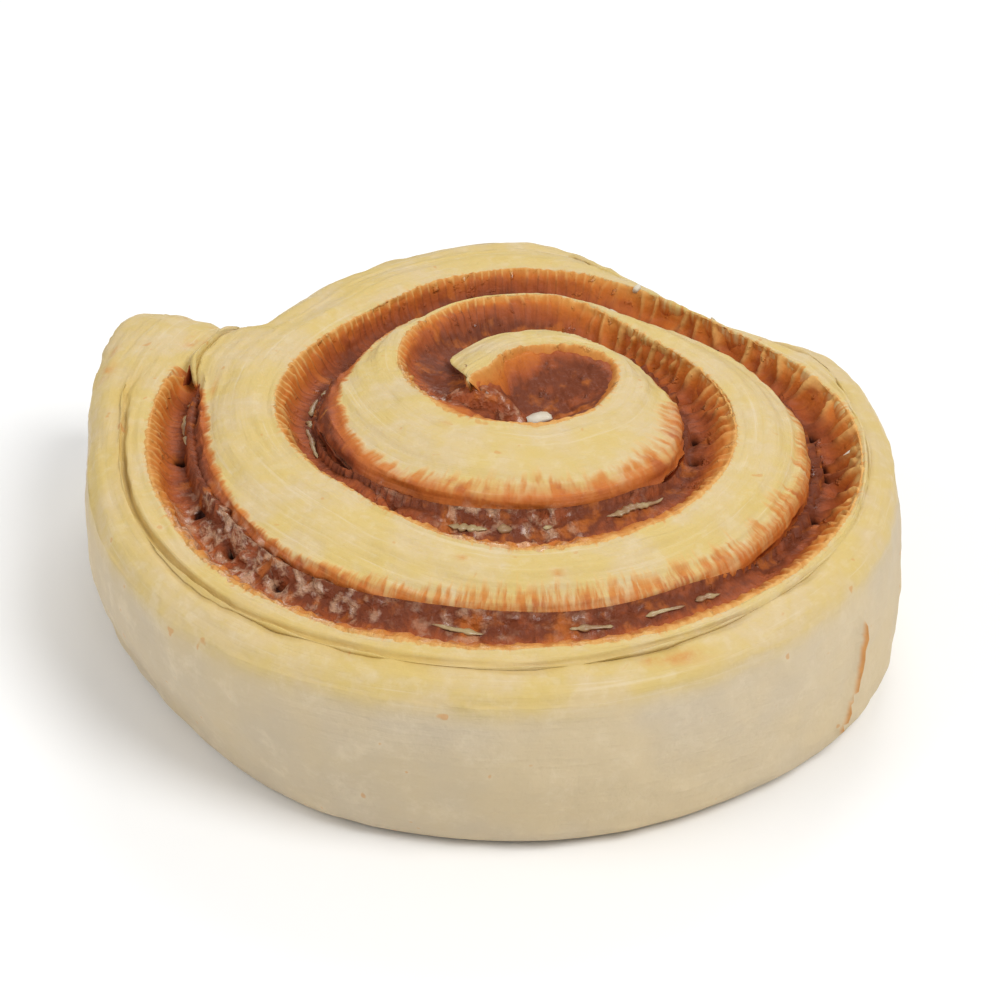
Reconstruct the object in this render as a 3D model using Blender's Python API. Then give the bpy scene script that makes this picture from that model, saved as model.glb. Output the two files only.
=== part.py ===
"""Cinnamon brioche: a slice cut from a rolled-up sheet of brioche dough, with the cinnamon paste rolled in.

Two pieces, in metres, +Z up, standing on z = 0:
  dough             one strip wound into a spiral of three turns
  cinnamon_filling  the paste between the turns, and the plug of it in the open middle

Everything is placed by the turn, counted along the strip from its inner tip. A whole turn number points to -X,
and the turns run clockwise seen from above. Radii are measured from the middle of the open centre.
"""

import math

import bpy
import bmesh

MM = 0.001

# Driving dimensions, in millimetres
ROLL_CENTRE = (5.264, 4.627)    # middle of the open centre, from the middle of the bun
RIM_HEIGHT = 24.0               # cut face at the outer edge
CORE_RISE = 6.0                 # how much higher the pushed-up middle stands
DOME_REACH = 46.0               # radius at which that rise has run out

# The strip, from its inner tip to the lobe that ends it
TIP_TURN, TIP_SLANT = -0.006, 0.148     # the tip is cut on the slant, by this share of a turn
SLANT_FADE = 0.35               # over this share of a turn the sections come square again
TAIL_TURN, TAIL_ROUND_TURN = 3.064, 0.021
TAIL_ROUND = (1.8, 5.0)         # how far its end is drawn in, on its inner and outer side
TAIL_SAG = 2.0
GAP = 1.5                       # paste and clearance between two turns
RIDGE_WIDTH = 0.35              # of the ridge's level edge
TOP_LEAST = 0.6                 # the top is at least this wide between that edge and the shoulder
SHOULDER_DROP = 1.6             # each turn falls away outwards by this much
SHOULDER_ROUND = (2.0, 3.4)     # width and depth of its rounded outer shoulder
BASE_BEVEL = 0.8                # along the foot of the inner turns
PINCH_LENGTH = 0.075            # of a place where the turns press together, in turns

# The bun's own side
SIDE_ROUND = (4.0, 3.6)
SIDE_FOOT_ROUND = (3.6, 4.2)
SIDE_BULGE = 0.7                # the side swells by this much half-way up
SIDE_LEAN = 0.4                 # and stands in by this much at its foot
SIDE_UNEVENNESS = 0.25
RIM_SAG = (2.36, 2.4)           # the turn at which the rim sags at the back, and by how much
LEAN_LENGTH = 0.06              # of a place where the side leans or sags, in turns

# The brown slope on the inner side of each turn, from the crevice up to the ridge
SLOPE_RUN, CREVICE_DEPTH = 4.3, 4.4
PIT_SLOPE_RUN, PIT_SLOPE_DEPTH = 2.4, 2.0

# Beyond this turn the lobe is pressed onto the turn inside it, with only a shallow crease between them
PRESSED_TURN, PRESSED_LENGTH = 3.02, 0.035
CREASE_DEPTH, CREASE_ROUND, CREASE_GAP = 1.2, (1.2, 1.2), 0.5

# The paste
PASTE_CLEARANCE = 0.3           # to the dough on both sides
PASTE_COAT = 1.0                # thickness on the slope
PASTE_END = 3.042
LINING = 2.6                    # thickness round the open centre
LINING_TURNS = (0.84, 0.93)     # where the lining thickens to reach the tip
LINING_CUT = (0.974, 0.99)      # and where it is cut back to pass the tip's end
FUNNEL_FLOOR = 6.4              # depth of the open centre below the ridge
TIP_HEAP, TIP_HEAP_LENGTH = (1.03, 1.0), 0.06   # the paste is heaped up beside the tip
TIP_HEAP_DROP = 1.6             # to this much below the ridge
FILL_LEAST, FILL_MOST = 0.8, 2.4        # how high the paste stands in the crevice above the foot of the slope
FILLED_TURNS = ((1.6, 1.95), (2.62, 2.97))  # where it stands highest
FILL_FADE = 0.06
PLUG_OVERLAP = 1.0              # of the plug with its lining
PLUG_STEP = 0.15                # the plug's face lies this much under the lining's edge
PLUG_CUT = (0.983, 0.988)       # where the plug is cut back to pass the tip's end

# A split that runs along the top of the outer turn
SPLIT_FROM_RIDGE = 3.7
SPLIT_WIDTH, SPLIT_DEPTH = 1.2, 2.4
SPLIT_LIP = 0.35                # the top swells by this much
SPLIT_TURNS = (2.6, 2.98, 3.03, 3.06)   # it opens over the first two and closes over the last two

# An upright crack in the side: turn and height of its upper and lower end
CRACK_ENDS = ((2.606, 17.5), (2.624, 2.6))
CRACK_WIDTH, CRACK_DEPTH = 1.1, 1.2
CRACK_STEPS = 7

# Radius of the strip's ridge at each eighth of a turn, from turn 0
RIDGE_RADII = (
    7.4, 6.7, 10.6, 12.6, 9.5, 7.9, 8.5, 10.8,
    13.6, 20.8, 25.0, 20.6, 23.6, 27.0, 29.8, 28.6,
    30.5, 29.4, 33.0, 30.0, 38.2, 42.5, 45.7, 47.3,
    45.4, 43.0,
)
# Radius of the bun's side at each sixteenth of a turn, from turn 2
SIDE_RADII = (
    39.5, 40.4, 40.6, 42.3, 43.2, 38.0, 35.8, 41.6, 43.0, 45.4,
    47.8, 50.4, 52.8, 54.2, 54.8, 54.1, 53.2, 57.0, 62.0,
)
# Where the slope is narrower or wider: the turn, and the change
PINCHES = (
    (1.18, 1.6), (1.375, -2.6), (1.74, 2.0), (1.89, -2.2), (2.02, -0.9), (2.15, -2.1),
    (2.375, -3.2), (2.78, 1.0), (3.05, -2.2),
)
# Where the side's foot stands further in or out: the turn, and the change
LEANS = ((2.6, -1.6), (2.78, 1.0), (2.9, 3.4))

# Fineness of the solids
STATIONS_A_TURN = (40, 52, 64, 76)
SLOPE_STEPS, ROUND_STEPS = 3, 4
SLANT_PASSES = 8
PLUG_SIDES, PLUG_RINGS = 32, 4

# material slot, base colour, roughness
DOUGH_LOOK = ("dough", (0.79, 0.62, 0.32, 1.0), 0.55)
PASTE_LOOK = ("cinnamon_paste", (0.26, 0.085, 0.035, 1.0), 0.35)


def clamp(value, low=0.0, high=1.0):
    return max(low, min(high, value))


def smooth(value):
    """0 to 1 with level ends."""
    value = clamp(value)
    return value * value * (3.0 - 2.0 * value)


def mix(first, second, share):
    return first + (second - first) * share


def bumps(turn, changes, length):
    """The sum of smooth local changes, each given as (turn, height)."""
    return sum(height * math.exp(-(((turn - middle) / length) ** 2)) for middle, height in changes)


def curve_through(values, place):
    """A smooth curve through evenly spaced values, at a place counted in their steps."""
    place = clamp(place, 0.0, len(values) - 1.001)
    step = int(place)
    share = place - step
    last = len(values) - 1
    a, b, c, d = (values[clamp(step + k, 0, last)] for k in (-1, 0, 1, 2))
    return b + 0.5 * share * (c - a + share * (2 * a - 5 * b + 4 * c - d + share * (3 * (b - c) + d - a)))


def ridge_radius(turn):
    return curve_through(RIDGE_RADII, 8.0 * turn)


def past_centre(turn):
    """0 in the open centre, 1 where a turn has another one inside it."""
    return smooth((turn - 0.95) / 0.3)


def slope_run(turn):
    return mix(PIT_SLOPE_RUN, SLOPE_RUN, past_centre(turn)) + bumps(turn, PINCHES, PINCH_LENGTH)


def crevice_radius(turn):
    return ridge_radius(turn) - slope_run(turn)


def pressed(turn):
    """0 where paste lies between this turn and the one inside it, 1 where the lobe is pressed onto it."""
    return smooth((turn - PRESSED_TURN) / PRESSED_LENGTH)


def on_side(turn):
    """0 where another turn lies outside this one, 1 where its outer face is the bun's own side."""
    return smooth((turn - (TAIL_TURN - 1.0)) / 0.03)


def side_radius(turn):
    return curve_through(SIDE_RADII, 16.0 * (turn - 2.0)) + SIDE_UNEVENNESS * unevenness(turn, 1.0)


def outer_radius(turn):
    gap = mix(GAP, CREASE_GAP, pressed(turn + 1.0))
    return mix(crevice_radius(turn + 1.0) - gap, side_radius(turn), on_side(turn))


def unevenness(turn, offset=0.0):
    """The slow rise and fall of hand-rolled dough, from -1 to 1."""
    return 0.6 * math.sin(17.0 * turn + offset) + 0.4 * math.sin(41.0 * turn + 2.0 * offset)


def plan_point(turn, radius):
    """Place on the plan, in millimetres from the bun's middle."""
    angle = math.pi - 2.0 * math.pi * turn
    return ROLL_CENTRE[0] + radius * math.cos(angle), ROLL_CENTRE[1] + radius * math.sin(angle)


def ridge_height(turn):
    x, y = plan_point(turn, ridge_radius(turn))
    return RIM_HEIGHT + CORE_RISE * clamp(1.0 - math.hypot(x, y) / DOME_REACH) + 0.25 * unevenness(turn)


def slope_point(turn, share):
    """Radius and height on the slope: 0 at the crevice, 1 at the ridge."""
    depth = mix(mix(PIT_SLOPE_DEPTH, CREVICE_DEPTH, past_centre(turn)), CREASE_DEPTH, pressed(turn))
    rise = math.sin(0.5 * math.pi * share) ** 1.2
    return crevice_radius(turn) + slope_run(turn) * share, ridge_height(turn) - depth * (1.0 - rise)


def funnel_height(turn, radius):
    """The sloping floor of the open centre, from the foot of the slope in to the middle."""
    foot, edge = slope_point(turn, 0.0)
    middle = RIM_HEIGHT + CORE_RISE - FUNNEL_FLOOR
    return mix(middle, edge, clamp(radius / foot) ** 1.3)


def split_share(turn):
    """How far open the split in the outer turn is."""
    opens, open_at, closes, closed = SPLIT_TURNS
    return smooth((turn - opens) / (open_at - opens)) * smooth((closed - turn) / (closed - closes))


def quarter_round(start, end, steps):
    """From a level start round to an upright end, without the start itself."""
    angles = [0.5 * math.pi * k / steps for k in range(1, steps + 1)]
    return [(mix(start[0], end[0], math.sin(a)), mix(end[1], start[1], math.cos(a))) for a in angles]


def top_points(turn, shoulder):
    """The light top of the strip from its ridge to its shoulder, with the split in it."""
    ridge = ridge_radius(turn) + RIDGE_WIDTH
    top = ridge_height(turn)
    opened = split_share(turn)
    room = shoulder[0] - ridge
    split = clamp(mix(0.5 * room, SPLIT_FROM_RIDGE, on_side(turn)), 0.3 * room, 0.8 * room)
    half = mix(0.2 * room, min(0.5 * SPLIT_WIDTH, 0.2 * room), opened)
    points = [(ridge, top)]
    for run, depth in ((split - half, 0.0), (split, SPLIT_DEPTH * opened), (split + half, 0.0)):
        share = run / room
        level = mix(top, shoulder[1], share**1.5) + SPLIT_LIP * math.sin(math.pi * share)
        points.append((ridge + run, level - depth))
    return [*points, shoulder]


def shoulder_round(turn):
    """Width and depth of the outer rounding."""
    between = [mix(whole, crease, pressed(turn + 1.0)) for whole, crease in zip(SHOULDER_ROUND, CREASE_ROUND)]
    return [mix(inner, side, on_side(turn)) for inner, side in zip(between, SIDE_ROUND)]


def outer_face(turn, shoulder):
    """Down from the shoulder to the foot, on the outer side."""
    outer = outer_radius(turn)
    side = on_side(turn)
    lean = (SIDE_LEAN + bumps(turn, LEANS, LEAN_LENGTH)) * side
    foot_width = mix(BASE_BEVEL, SIDE_FOOT_ROUND[0], side)
    foot_height = mix(BASE_BEVEL, SIDE_FOOT_ROUND[1], side)
    points = quarter_round(shoulder, (outer, shoulder[1] - shoulder_round(turn)[1]), ROUND_STEPS)
    points.append((outer + SIDE_BULGE * side - 0.3 * lean, mix(points[-1][1], foot_height, 0.5)))
    points.append((outer - lean, foot_height))
    for k in (1, 2, 3):
        angle = math.pi / 6.0 * k
        radius = outer - lean - foot_width * (1.0 - math.cos(angle))
        points.append((radius, foot_height * (1.0 - math.sin(angle))))
    return points


def dough_section(turn):
    """Outline of the strip across its length, as (radius, height), up the inner side and down the outer."""
    foot = crevice_radius(turn)
    side = on_side(turn)
    drop = SHOULDER_DROP * mix(1.0, 0.4, max(side, pressed(turn + 1.0)))
    drop += bumps(turn, (RIM_SAG,), LEAN_LENGTH) * side
    least = ridge_radius(turn) + RIDGE_WIDTH + TOP_LEAST
    shoulder = (max(outer_radius(turn) - shoulder_round(turn)[0], least), ridge_height(turn) - drop)
    sunk = (PASTE_COAT + PASTE_CLEARANCE) * (1.0 - pressed(turn))
    points = [(foot + BASE_BEVEL, 0.0), (foot, BASE_BEVEL)]
    for k in range(SLOPE_STEPS + 1):
        share = k / SLOPE_STEPS
        radius, height = slope_point(turn, share)
        points.append((radius, height - sunk * mix(1.0, 0.25, share)))
    return points + top_points(turn, shoulder) + outer_face(turn, shoulder)


def tip_face_radius(turn):
    """How far out the slanted end of the strip's tip lies at this turn."""
    return mix(ridge_radius(turn), outer_radius(turn), (turn - TIP_TURN) / TIP_SLANT)


def crevice_fill(turn):
    """How high the paste stands in the crevice above the foot of the slope."""
    between = smooth((turn - 1.06) / 0.07) * smooth((PASTE_END - turn) / 0.03)
    starts = [smooth((turn - start) / FILL_FADE) * smooth((end - turn) / FILL_FADE) for start, end in FILLED_TURNS]
    return mix(FILL_LEAST, FILL_MOST, max(starts)) * between


def paste_section(turn):
    """Outline of the paste: an upright leg between two turns, with a coat lying on the slope."""
    leg_out = crevice_radius(turn) - PASTE_CLEARANCE
    leg_in = paste_inner_radius(turn)
    middle = mix(leg_in, leg_out, 0.5)
    edge = slope_point(turn, 0.0)[1]
    fill = crevice_fill(turn)
    heap = bumps(turn, (TIP_HEAP,), TIP_HEAP_LENGTH)
    inner_edge = mix(funnel_height(turn, leg_in), edge - 0.5, smooth((turn - 1.06) / 0.07))
    inner_edge = mix(inner_edge, ridge_height(turn) - TIP_HEAP_DROP, heap) + fill
    points = [
        (leg_in, PASTE_CLEARANCE),
        (leg_in, inner_edge),
        (middle, mix(inner_edge, edge + fill, 0.7)),
    ]
    coat = [(share, slope_point(turn, share)) for share in (k / SLOPE_STEPS for k in range(SLOPE_STEPS + 1))]
    for share, (radius, height) in coat[1:]:
        filled_up = max(height, edge + fill * (1.0 - share))
        points.append((radius - 0.1 * share, filled_up + 0.15 * unevenness(turn, 2.0 * share)))
    for share, (radius, height) in reversed(coat):
        points.append((radius - PASTE_CLEARANCE, height - PASTE_COAT * mix(1.0, 0.25, share)))
    points.append((leg_out, PASTE_CLEARANCE))
    thinned = mix(0.3, 1.0, smooth((PASTE_END - turn) / 0.02))
    return [(mix(middle, radius, thinned), height) for radius, height in points]


def paste_inner_radius(turn):
    """Inner side of the paste: its lining in the centre, the face of the tip, then the turn inside it."""
    lining = crevice_radius(turn) - PASTE_CLEARANCE - LINING
    near_tip = crevice_radius(TIP_TURN) - PASTE_CLEARANCE
    if turn <= LINING_CUT[0]:
        start, end = LINING_TURNS
        return mix(lining, near_tip, smooth((turn - start) / (end - start)))
    cut_back = clamp((turn - LINING_CUT[0]) / (LINING_CUT[1] - LINING_CUT[0]))
    past_tip = tip_face_radius(turn - 1.0) + 2.5 * PASTE_CLEARANCE
    return min(mix(near_tip, past_tip, cut_back), crevice_radius(turn) - GAP + PASTE_CLEARANCE)


def stations(first, last):
    """Turns at which sections stand, more of them to a turn further out."""
    turns = [first]
    while turns[-1] < last - 0.006:
        turns.append(turns[-1] + 1.0 / STATIONS_A_TURN[int(turns[-1])])
    turns[-1] = last
    return sorted({*turns, *LINING_CUT})


def in_space(turn, radius, height):
    return (*(value * MM for value in plan_point(turn, radius)), height * MM)


def placed(section_at, turn):
    """The section's points in space, in metres. Near the tip its outer side is carried further along."""
    slant = TIP_SLANT * clamp(1.0 - (turn - TIP_TURN) / SLANT_FADE)
    points = []
    for k, point in enumerate(section_at(turn)):
        along = turn
        for _ in range(SLANT_PASSES if slant > 0.0 else 0):
            ridge = ridge_radius(along)
            along = turn + slant * clamp((point[0] - ridge) / (outer_radius(along) - ridge))
            point = section_at(along)[k]
        points.append(in_space(along, *point))
    return points


def drawn_in(section, share, inset, sag):
    """The section narrowed and lowered, for a rounded end: share 0 is where the rounding starts."""
    inner = min(radius for radius, _ in section)
    outer = max(radius for radius, _ in section)
    top = max(height for _, height in section)
    round_share = 1.0 - math.sqrt(max(1.0 - share * share, 0.0))
    low, high = inner + inset[0] * round_share, outer - inset[1] * round_share
    return [
        (mix(low, high, (radius - inner) / (outer - inner)), height - sag * share * share * smooth(height / top))
        for radius, height in section
    ]


def new_object(name, mesh, look):
    slot, colour, roughness = look
    material = bpy.data.materials.new(slot)
    material.use_nodes = True
    shader = material.node_tree.nodes["Principled BSDF"]
    shader.inputs["Base Color"].default_value = colour
    shader.inputs["Roughness"].default_value = roughness
    shader.inputs["Metallic"].default_value = 0.0
    mesh.materials.append(material)
    made = bpy.data.objects.new(name, mesh)
    bpy.context.scene.collection.objects.link(made)
    return made


def skin_of(name, rows):
    """A closed skin over rows of points, each row a closed outline, with a cap on either end."""
    skin = bmesh.new()
    grid = [[skin.verts.new(point) for point in row] for row in rows]
    count = len(grid[0])
    for this, following in zip(grid, grid[1:]):
        for k in range(count):
            after = (k + 1) % count
            skin.faces.new((this[k], this[after], following[after], following[k]))
    skin.faces.new(list(reversed(grid[0])))
    skin.faces.new(grid[-1])
    bmesh.ops.recalc_face_normals(skin, faces=skin.faces)
    bmesh.ops.triangulate(skin, faces=skin.faces)
    mesh = bpy.data.meshes.new(name)
    skin.to_mesh(mesh)
    skin.free()
    mesh.shade_smooth()
    mesh.set_sharp_from_angle(angle=math.radians(50.0))
    return mesh


def combined(target, other_mesh, operation):
    """Joins another closed mesh to this object, or cuts it away."""
    other = bpy.data.objects.new("other", other_mesh)
    bpy.context.scene.collection.objects.link(other)
    boolean = target.modifiers.new("boolean", "BOOLEAN")
    boolean.operation = operation
    boolean.object = other
    boolean.solver = "EXACT"
    graph = bpy.context.evaluated_depsgraph_get()
    result = bpy.data.meshes.new_from_object(target.evaluated_get(graph))
    target.modifiers.remove(boolean)
    target.data = result
    bpy.data.objects.remove(other)


def make_dough():
    rows = [placed(dough_section, turn) for turn in stations(TIP_TURN, TAIL_TURN)]
    for share in (0.4, 0.7, 0.9, 1.0):
        turn = TAIL_TURN + TAIL_ROUND_TURN * share
        end = drawn_in(dough_section(turn), share, TAIL_ROUND, TAIL_SAG)
        rows.append([in_space(turn, *point) for point in end])
    dough = new_object("dough", skin_of("dough", rows), DOUGH_LOOK)
    combined(dough, skin_of("crack", crack_rows()), "DIFFERENCE")


def crack_rows():
    """Diamond-shaped sections down the crack, narrow at both ends."""
    (top_turn, top_height), (low_turn, low_height) = CRACK_ENDS
    rows = []
    for k in range(CRACK_STEPS + 1):
        share = k / CRACK_STEPS
        turn = mix(top_turn, low_turn, share)
        height = mix(top_height, low_height, share)
        width = 0.5 * CRACK_WIDTH * mix(0.25, 1.0, math.sin(math.pi * mix(0.1, 0.9, share)))
        wide = width / (2.0 * math.pi * side_radius(turn))
        surface = side_radius(turn) + SIDE_BULGE
        outside = surface + 1.5
        ends = ((turn, surface - CRACK_DEPTH), (turn + 2.0 * wide, outside), (turn - 2.0 * wide, outside))
        rows.append([in_space(place, radius, height) for place, radius in ends])
    return rows


def plug_rows():
    """Rings of the plug in the open centre, from the one at its foot over the rim and in to the middle."""
    turns = sorted({*PLUG_CUT, *(k / PLUG_SIDES for k in range(PLUG_SIDES))})
    rims = [(turn, plug_radius(turn)) for turn in turns]
    rows = [[in_space(turn, rim, PASTE_CLEARANCE) for turn, rim in rims]]
    for k in range(PLUG_RINGS, 0, -1):
        share = k / PLUG_RINGS
        row = []
        for turn, rim in rims:
            height = funnel_height(turn, min(rim - PLUG_OVERLAP, rim * share)) - PLUG_STEP
            row.append(in_space(turn, rim * share, height))
        rows.append(row)
    return rows


def plug_radius(turn):
    """The plug reaches into its lining, and stays clear of the strip's tip."""
    if turn < PLUG_CUT[1]:
        return paste_inner_radius(turn) + PLUG_OVERLAP
    return crevice_radius(TIP_TURN) - 2.0 * PASTE_CLEARANCE


def make_filling():
    """The paste layer joined with the plug in the open centre."""
    rows = [placed(paste_section, turn) for turn in stations(TIP_TURN, PASTE_END)]
    filling = new_object("cinnamon_filling", skin_of("cinnamon_filling", rows), PASTE_LOOK)
    combined(filling, skin_of("plug", plug_rows()), "UNION")


def main():
    for old in list(bpy.data.objects):
        bpy.data.objects.remove(old)
    make_dough()
    make_filling()


main()
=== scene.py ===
"""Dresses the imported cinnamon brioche: fine dough and paste in place of its two solids, and a stage.

Run as a script, it loads the frame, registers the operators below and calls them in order.

As in the part, a place is given by its turn, counted along the strip from its inner tip, and its radius from
the middle of the open centre. A whole turn number points to -X, and the turns run clockwise from above.
"""

import math

import bpy
import numpy as np
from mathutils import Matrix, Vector, noise


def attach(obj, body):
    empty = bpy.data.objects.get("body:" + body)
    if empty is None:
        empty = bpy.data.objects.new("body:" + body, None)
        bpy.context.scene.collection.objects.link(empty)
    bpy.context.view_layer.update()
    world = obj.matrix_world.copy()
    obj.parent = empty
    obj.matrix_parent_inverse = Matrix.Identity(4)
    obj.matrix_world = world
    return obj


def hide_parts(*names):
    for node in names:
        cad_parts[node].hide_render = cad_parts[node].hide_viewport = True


bl_info = {
    "name": "Cinnamon brioche",
    "version": (1, 0, 0),
    "blender": (4, 5, 0),
    "location": "3D View > Sidebar > Brioche",
    "description": "Builds the dough strip, the cinnamon paste and the stage around a packed brioche",
    "category": "Add Mesh",
}

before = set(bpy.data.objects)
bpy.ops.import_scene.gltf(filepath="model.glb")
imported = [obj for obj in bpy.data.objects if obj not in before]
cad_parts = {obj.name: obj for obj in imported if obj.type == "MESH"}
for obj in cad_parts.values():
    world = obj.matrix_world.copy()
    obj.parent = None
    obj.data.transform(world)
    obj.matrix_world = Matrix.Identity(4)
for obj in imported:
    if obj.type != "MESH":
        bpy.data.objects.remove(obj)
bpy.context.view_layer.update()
MM = 0.001

# Shape of the roll, in millimetres and turns, as in the part, with a finer split, creases and paste
ROLL_CENTRE = (5.264, 4.627)    # middle of the open centre, from the middle of the bun
RIM_HEIGHT = 24.0
CORE_RISE, DOME_REACH = 6.0, 46.0
PAST_CENTRE_TURN, PAST_CENTRE_LENGTH = 0.95, 0.3
TIP_TURN, TIP_SLANT, SLANT_FADE = -0.006, 0.148, 0.35
TAIL_TURN, TAIL_ROUND_TURN = 3.064, 0.021
TAIL_ROUND, TAIL_SAG = (0.8, 5.0), 2.0
GAP = 1.5                       # paste and clearance between two turns
RIDGE_WIDTH = 0.35
TOP_LEAST = 0.6
SHOULDER_DROP, SHOULDER_ROUND = 1.6, (2.0, 3.4)
BASE_BEVEL = 0.8
PINCH_LENGTH = 0.075

# The bun's own side
SIDE_START_LENGTH = 0.03
SIDE_ROUND, SIDE_FOOT_ROUND = (4.0, 3.6), (3.6, 4.2)
SIDE_BULGE, SIDE_LEAN, SIDE_UNEVENNESS = 0.7, 0.4, 0.25
RIM_SAG = (2.36, 2.4)
LEAN_LENGTH = 0.06

# The brown slope on the inner side of each turn, and what lies under its paste
SLOPE_RUN, CREVICE_DEPTH = 4.3, 4.4
PIT_SLOPE_RUN, PIT_SLOPE_DEPTH = 2.4, 2.0
SLOPE_HOLLOW = 1.2              # how hollow the slope is, as a power
SET_BACK = 0.4                  # the dough is this much lower where it stands back at the foot of the slope
NARROW_SINK = 1.2               # and this much lower where the slope is narrow

# Beyond this turn the lobe is pressed onto the turn inside it
PRESSED_TURN, PRESSED_LENGTH = 3.022, 0.022
CREASE_DEPTH, CREASE_ROUND, CREASE_GAP = 0.7, (1.2, 0.7), -0.1

# The paste
PASTE_CLEARANCE = 0.3
PASTE_COAT = 1.0
PASTE_END, PASTE_END_LENGTH = 3.041, 0.012
LINING, LINING_TURNS = 2.6, (0.84, 0.93)
LINING_FADE_TURN, LINING_FADE_LENGTH = 0.86, 0.06
FUNNEL_FLOOR = 6.4
PLUG_FOOT, PLUG_REACH = 12.0, 0.85      # the plug's foot, and how far up the slope it reaches, as a share
PLUG_END_TURN, PLUG_END_LENGTH = 0.86, 0.07
FUNNEL_CLOSING_TURN, FUNNEL_CLOSING_LENGTH = 0.8, 0.2
TIP_FACE_TURN, TIP_FACE_LENGTH = 0.99, 0.02     # where the paste passes from its lining to the tip's face
INTO_TIP, INTO_TIP_END, INTO_TIP_FADE = 2.6, 1.1, 0.06  # it reaches this far into the tip, up to that turn
BEHIND_TIP_TURN, BEHIND_TIP_LENGTH = 1.06, 0.07
TIP_HEAP, TIP_HEAP_LENGTH = (1.03, 1.0), 0.06   # the paste is heaped up beside the tip
TIP_HEAP_TURN, TIP_HEAP_RISE = 0.975, 0.04      # from here on
FILL_LEAST, FILL_MOST = 0.8, 2.4
FILLED_TURNS, FILL_FADE = ((1.6, 1.95), (2.62, 2.97)), 0.06
SQUEEZED_UP = ((1.66, 0.8), (1.78, 0.8), (2.68, 0.8), (2.8, 1.0), (2.91, 1.3), (3.01, 1.8))
SQUEEZED_LENGTH = 0.06

# The lump of paste by the tip's end: turn and radius, length, width and rise, heading in degrees
HEAP_PLACE = (0.010, 6.1)
HEAP_SIZE = (10.6, 6.0, 3.4)
HEAP_HEADING = -22.0
HEAP_TOP = 28.2

# The split along the outer turn, and the upright crack in the side
SPLIT_FROM_RIDGE, SPLIT_WIDTH, SPLIT_DEPTH, SPLIT_LIP = 3.7, 1.0, 0.7, 0.35
SPLIT_TURNS = (2.6, 2.98, 3.01, 3.045)
CRACK_ENDS = ((2.606, 17.5), (2.624, 2.6))
CRACK_RADIUS, CRACK_HALF_WIDTH, CRACK_DEPTH = 53.0, 0.45, 1.0

# Radius of the ridge at each eighth of a turn, and of the bun's side at each sixteenth from turn 2
RIDGE_RADII = (
    7.4, 6.7, 10.6, 12.6, 9.5, 7.9, 8.5, 10.8,
    13.6, 20.8, 25.0, 20.6, 23.6, 27.0, 29.8, 28.6,
    30.5, 29.4, 33.0, 30.0, 38.2, 42.5, 45.7, 47.3,
    45.4, 43.0,
)
SIDE_RADII = (
    39.5, 40.4, 40.6, 42.3, 43.2, 38.0, 35.8, 41.6, 43.0, 45.4,
    47.8, 50.4, 52.8, 54.2, 54.8, 54.1, 53.2, 57.0, 62.0,
)
# Where the slope is narrower or wider, and where the side's foot stands in or out: the turn, and the change
PINCHES = (
    (1.18, 1.6), (1.375, -2.6), (1.74, 2.0), (1.89, -2.2), (2.02, -0.9), (2.15, -2.1),
    (2.375, -3.2), (2.78, 1.0), (3.05, -2.2),
)
LEANS = ((2.6, -1.6), (2.78, 1.0), (2.9, 3.4))

# Where paste covers the outer shoulder: turn, height above the foot of its rounding, length of the fringe
SMEARED = (
    (0.1, 1.5, 1.0), (0.3, 1.5, 1.2), (0.45, 1.6, 2.0), (0.55, 2.2, 4.2), (0.75, 2.4, 4.6), (0.84, 2.6, 3.6),
    (0.92, 4.2, 1.2), (0.98, 5.0, 0.9), (1.04, 4.6, 0.9), (1.1, 3.2, 0.9), (1.2, 1.8, 1.2), (1.4, 1.6, 1.6),
    (1.5, 1.3, 3.0), (1.6, 1.0, 4.8), (1.78, 1.2, 5.0), (1.83, 2.2, 2.8), (1.87, 2.8, 1.2), (1.94, 4.0, 0.9),
    (2.0, 4.2, 0.8), (2.02, 3.2, 0.8), (2.034, 0.0, 0.8),
)
SHOULDER_STAIN_END, RIDGE_STAIN_END = 2.04, 3.04
# Smears of paste on the cut face: turn, radius, length, width
SMEARS = (
    (3.035, 53.5, 1.6, 1.1), (3.047, 53.9, 1.0, 0.5), (3.061, 44.8, 2.2, 0.7), (3.061, 43.0, 1.6, 0.5),
    (2.697, 48.6, 2.6, 0.8), (2.708, 48.4, 1.0, 0.6), (1.789, 32.7, 0.8, 0.5), (1.738, 34.2, 0.6, 0.4),
    (0.885, 13.6, 0.7, 0.35), (2.02, 38.6, 1.6, 0.35),
)

# Where the paste has broad or fine ribs, is wet or is coloured darker: the turn, and how strongly
BROAD_RIBS = (
    (1.33, 0.7), (1.38, 1.0), (1.44, 1.0), (1.5, 0.9), (2.35, 0.9), (2.41, 1.0), (2.47, 1.0), (2.53, 1.0),
    (2.57, 0.7),
)
FINE_RIBS = (
    (1.05, 0.9), (1.2, 0.9), (1.58, 0.6), (1.85, 0.7), (1.95, 1.0), (2.05, 1.0), (2.15, 0.8), (2.25, 0.6),
    (2.62, 0.6), (3.0, 0.8),
)
WET_PLACES = (
    (0.99, 0.6), (1.03, 0.8), (1.65, 0.4), (1.74, 0.9), (1.8, 0.9), (1.87, 0.5), (2.72, 0.5), (2.78, 0.6),
    (2.84, 0.8), (2.89, 1.0), (2.93, 0.7),
)
DARKER_PLACES = ((1.12, 1.0), (1.22, 1.0), (2.12, 1.0), (2.22, 1.0))
SHORT_FADE, LONG_FADE = 0.03, 0.06      # of such a place, in turns
# Distance between two ribs at these turns
RIB_SPACING = (
    (0.0, 1.4), (1.2, 1.3), (1.3, 2.0), (1.54, 2.1), (1.6, 1.2), (2.28, 1.25), (2.34, 3.2), (2.53, 3.4),
    (2.58, 1.3), (3.1, 1.15),
)
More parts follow.
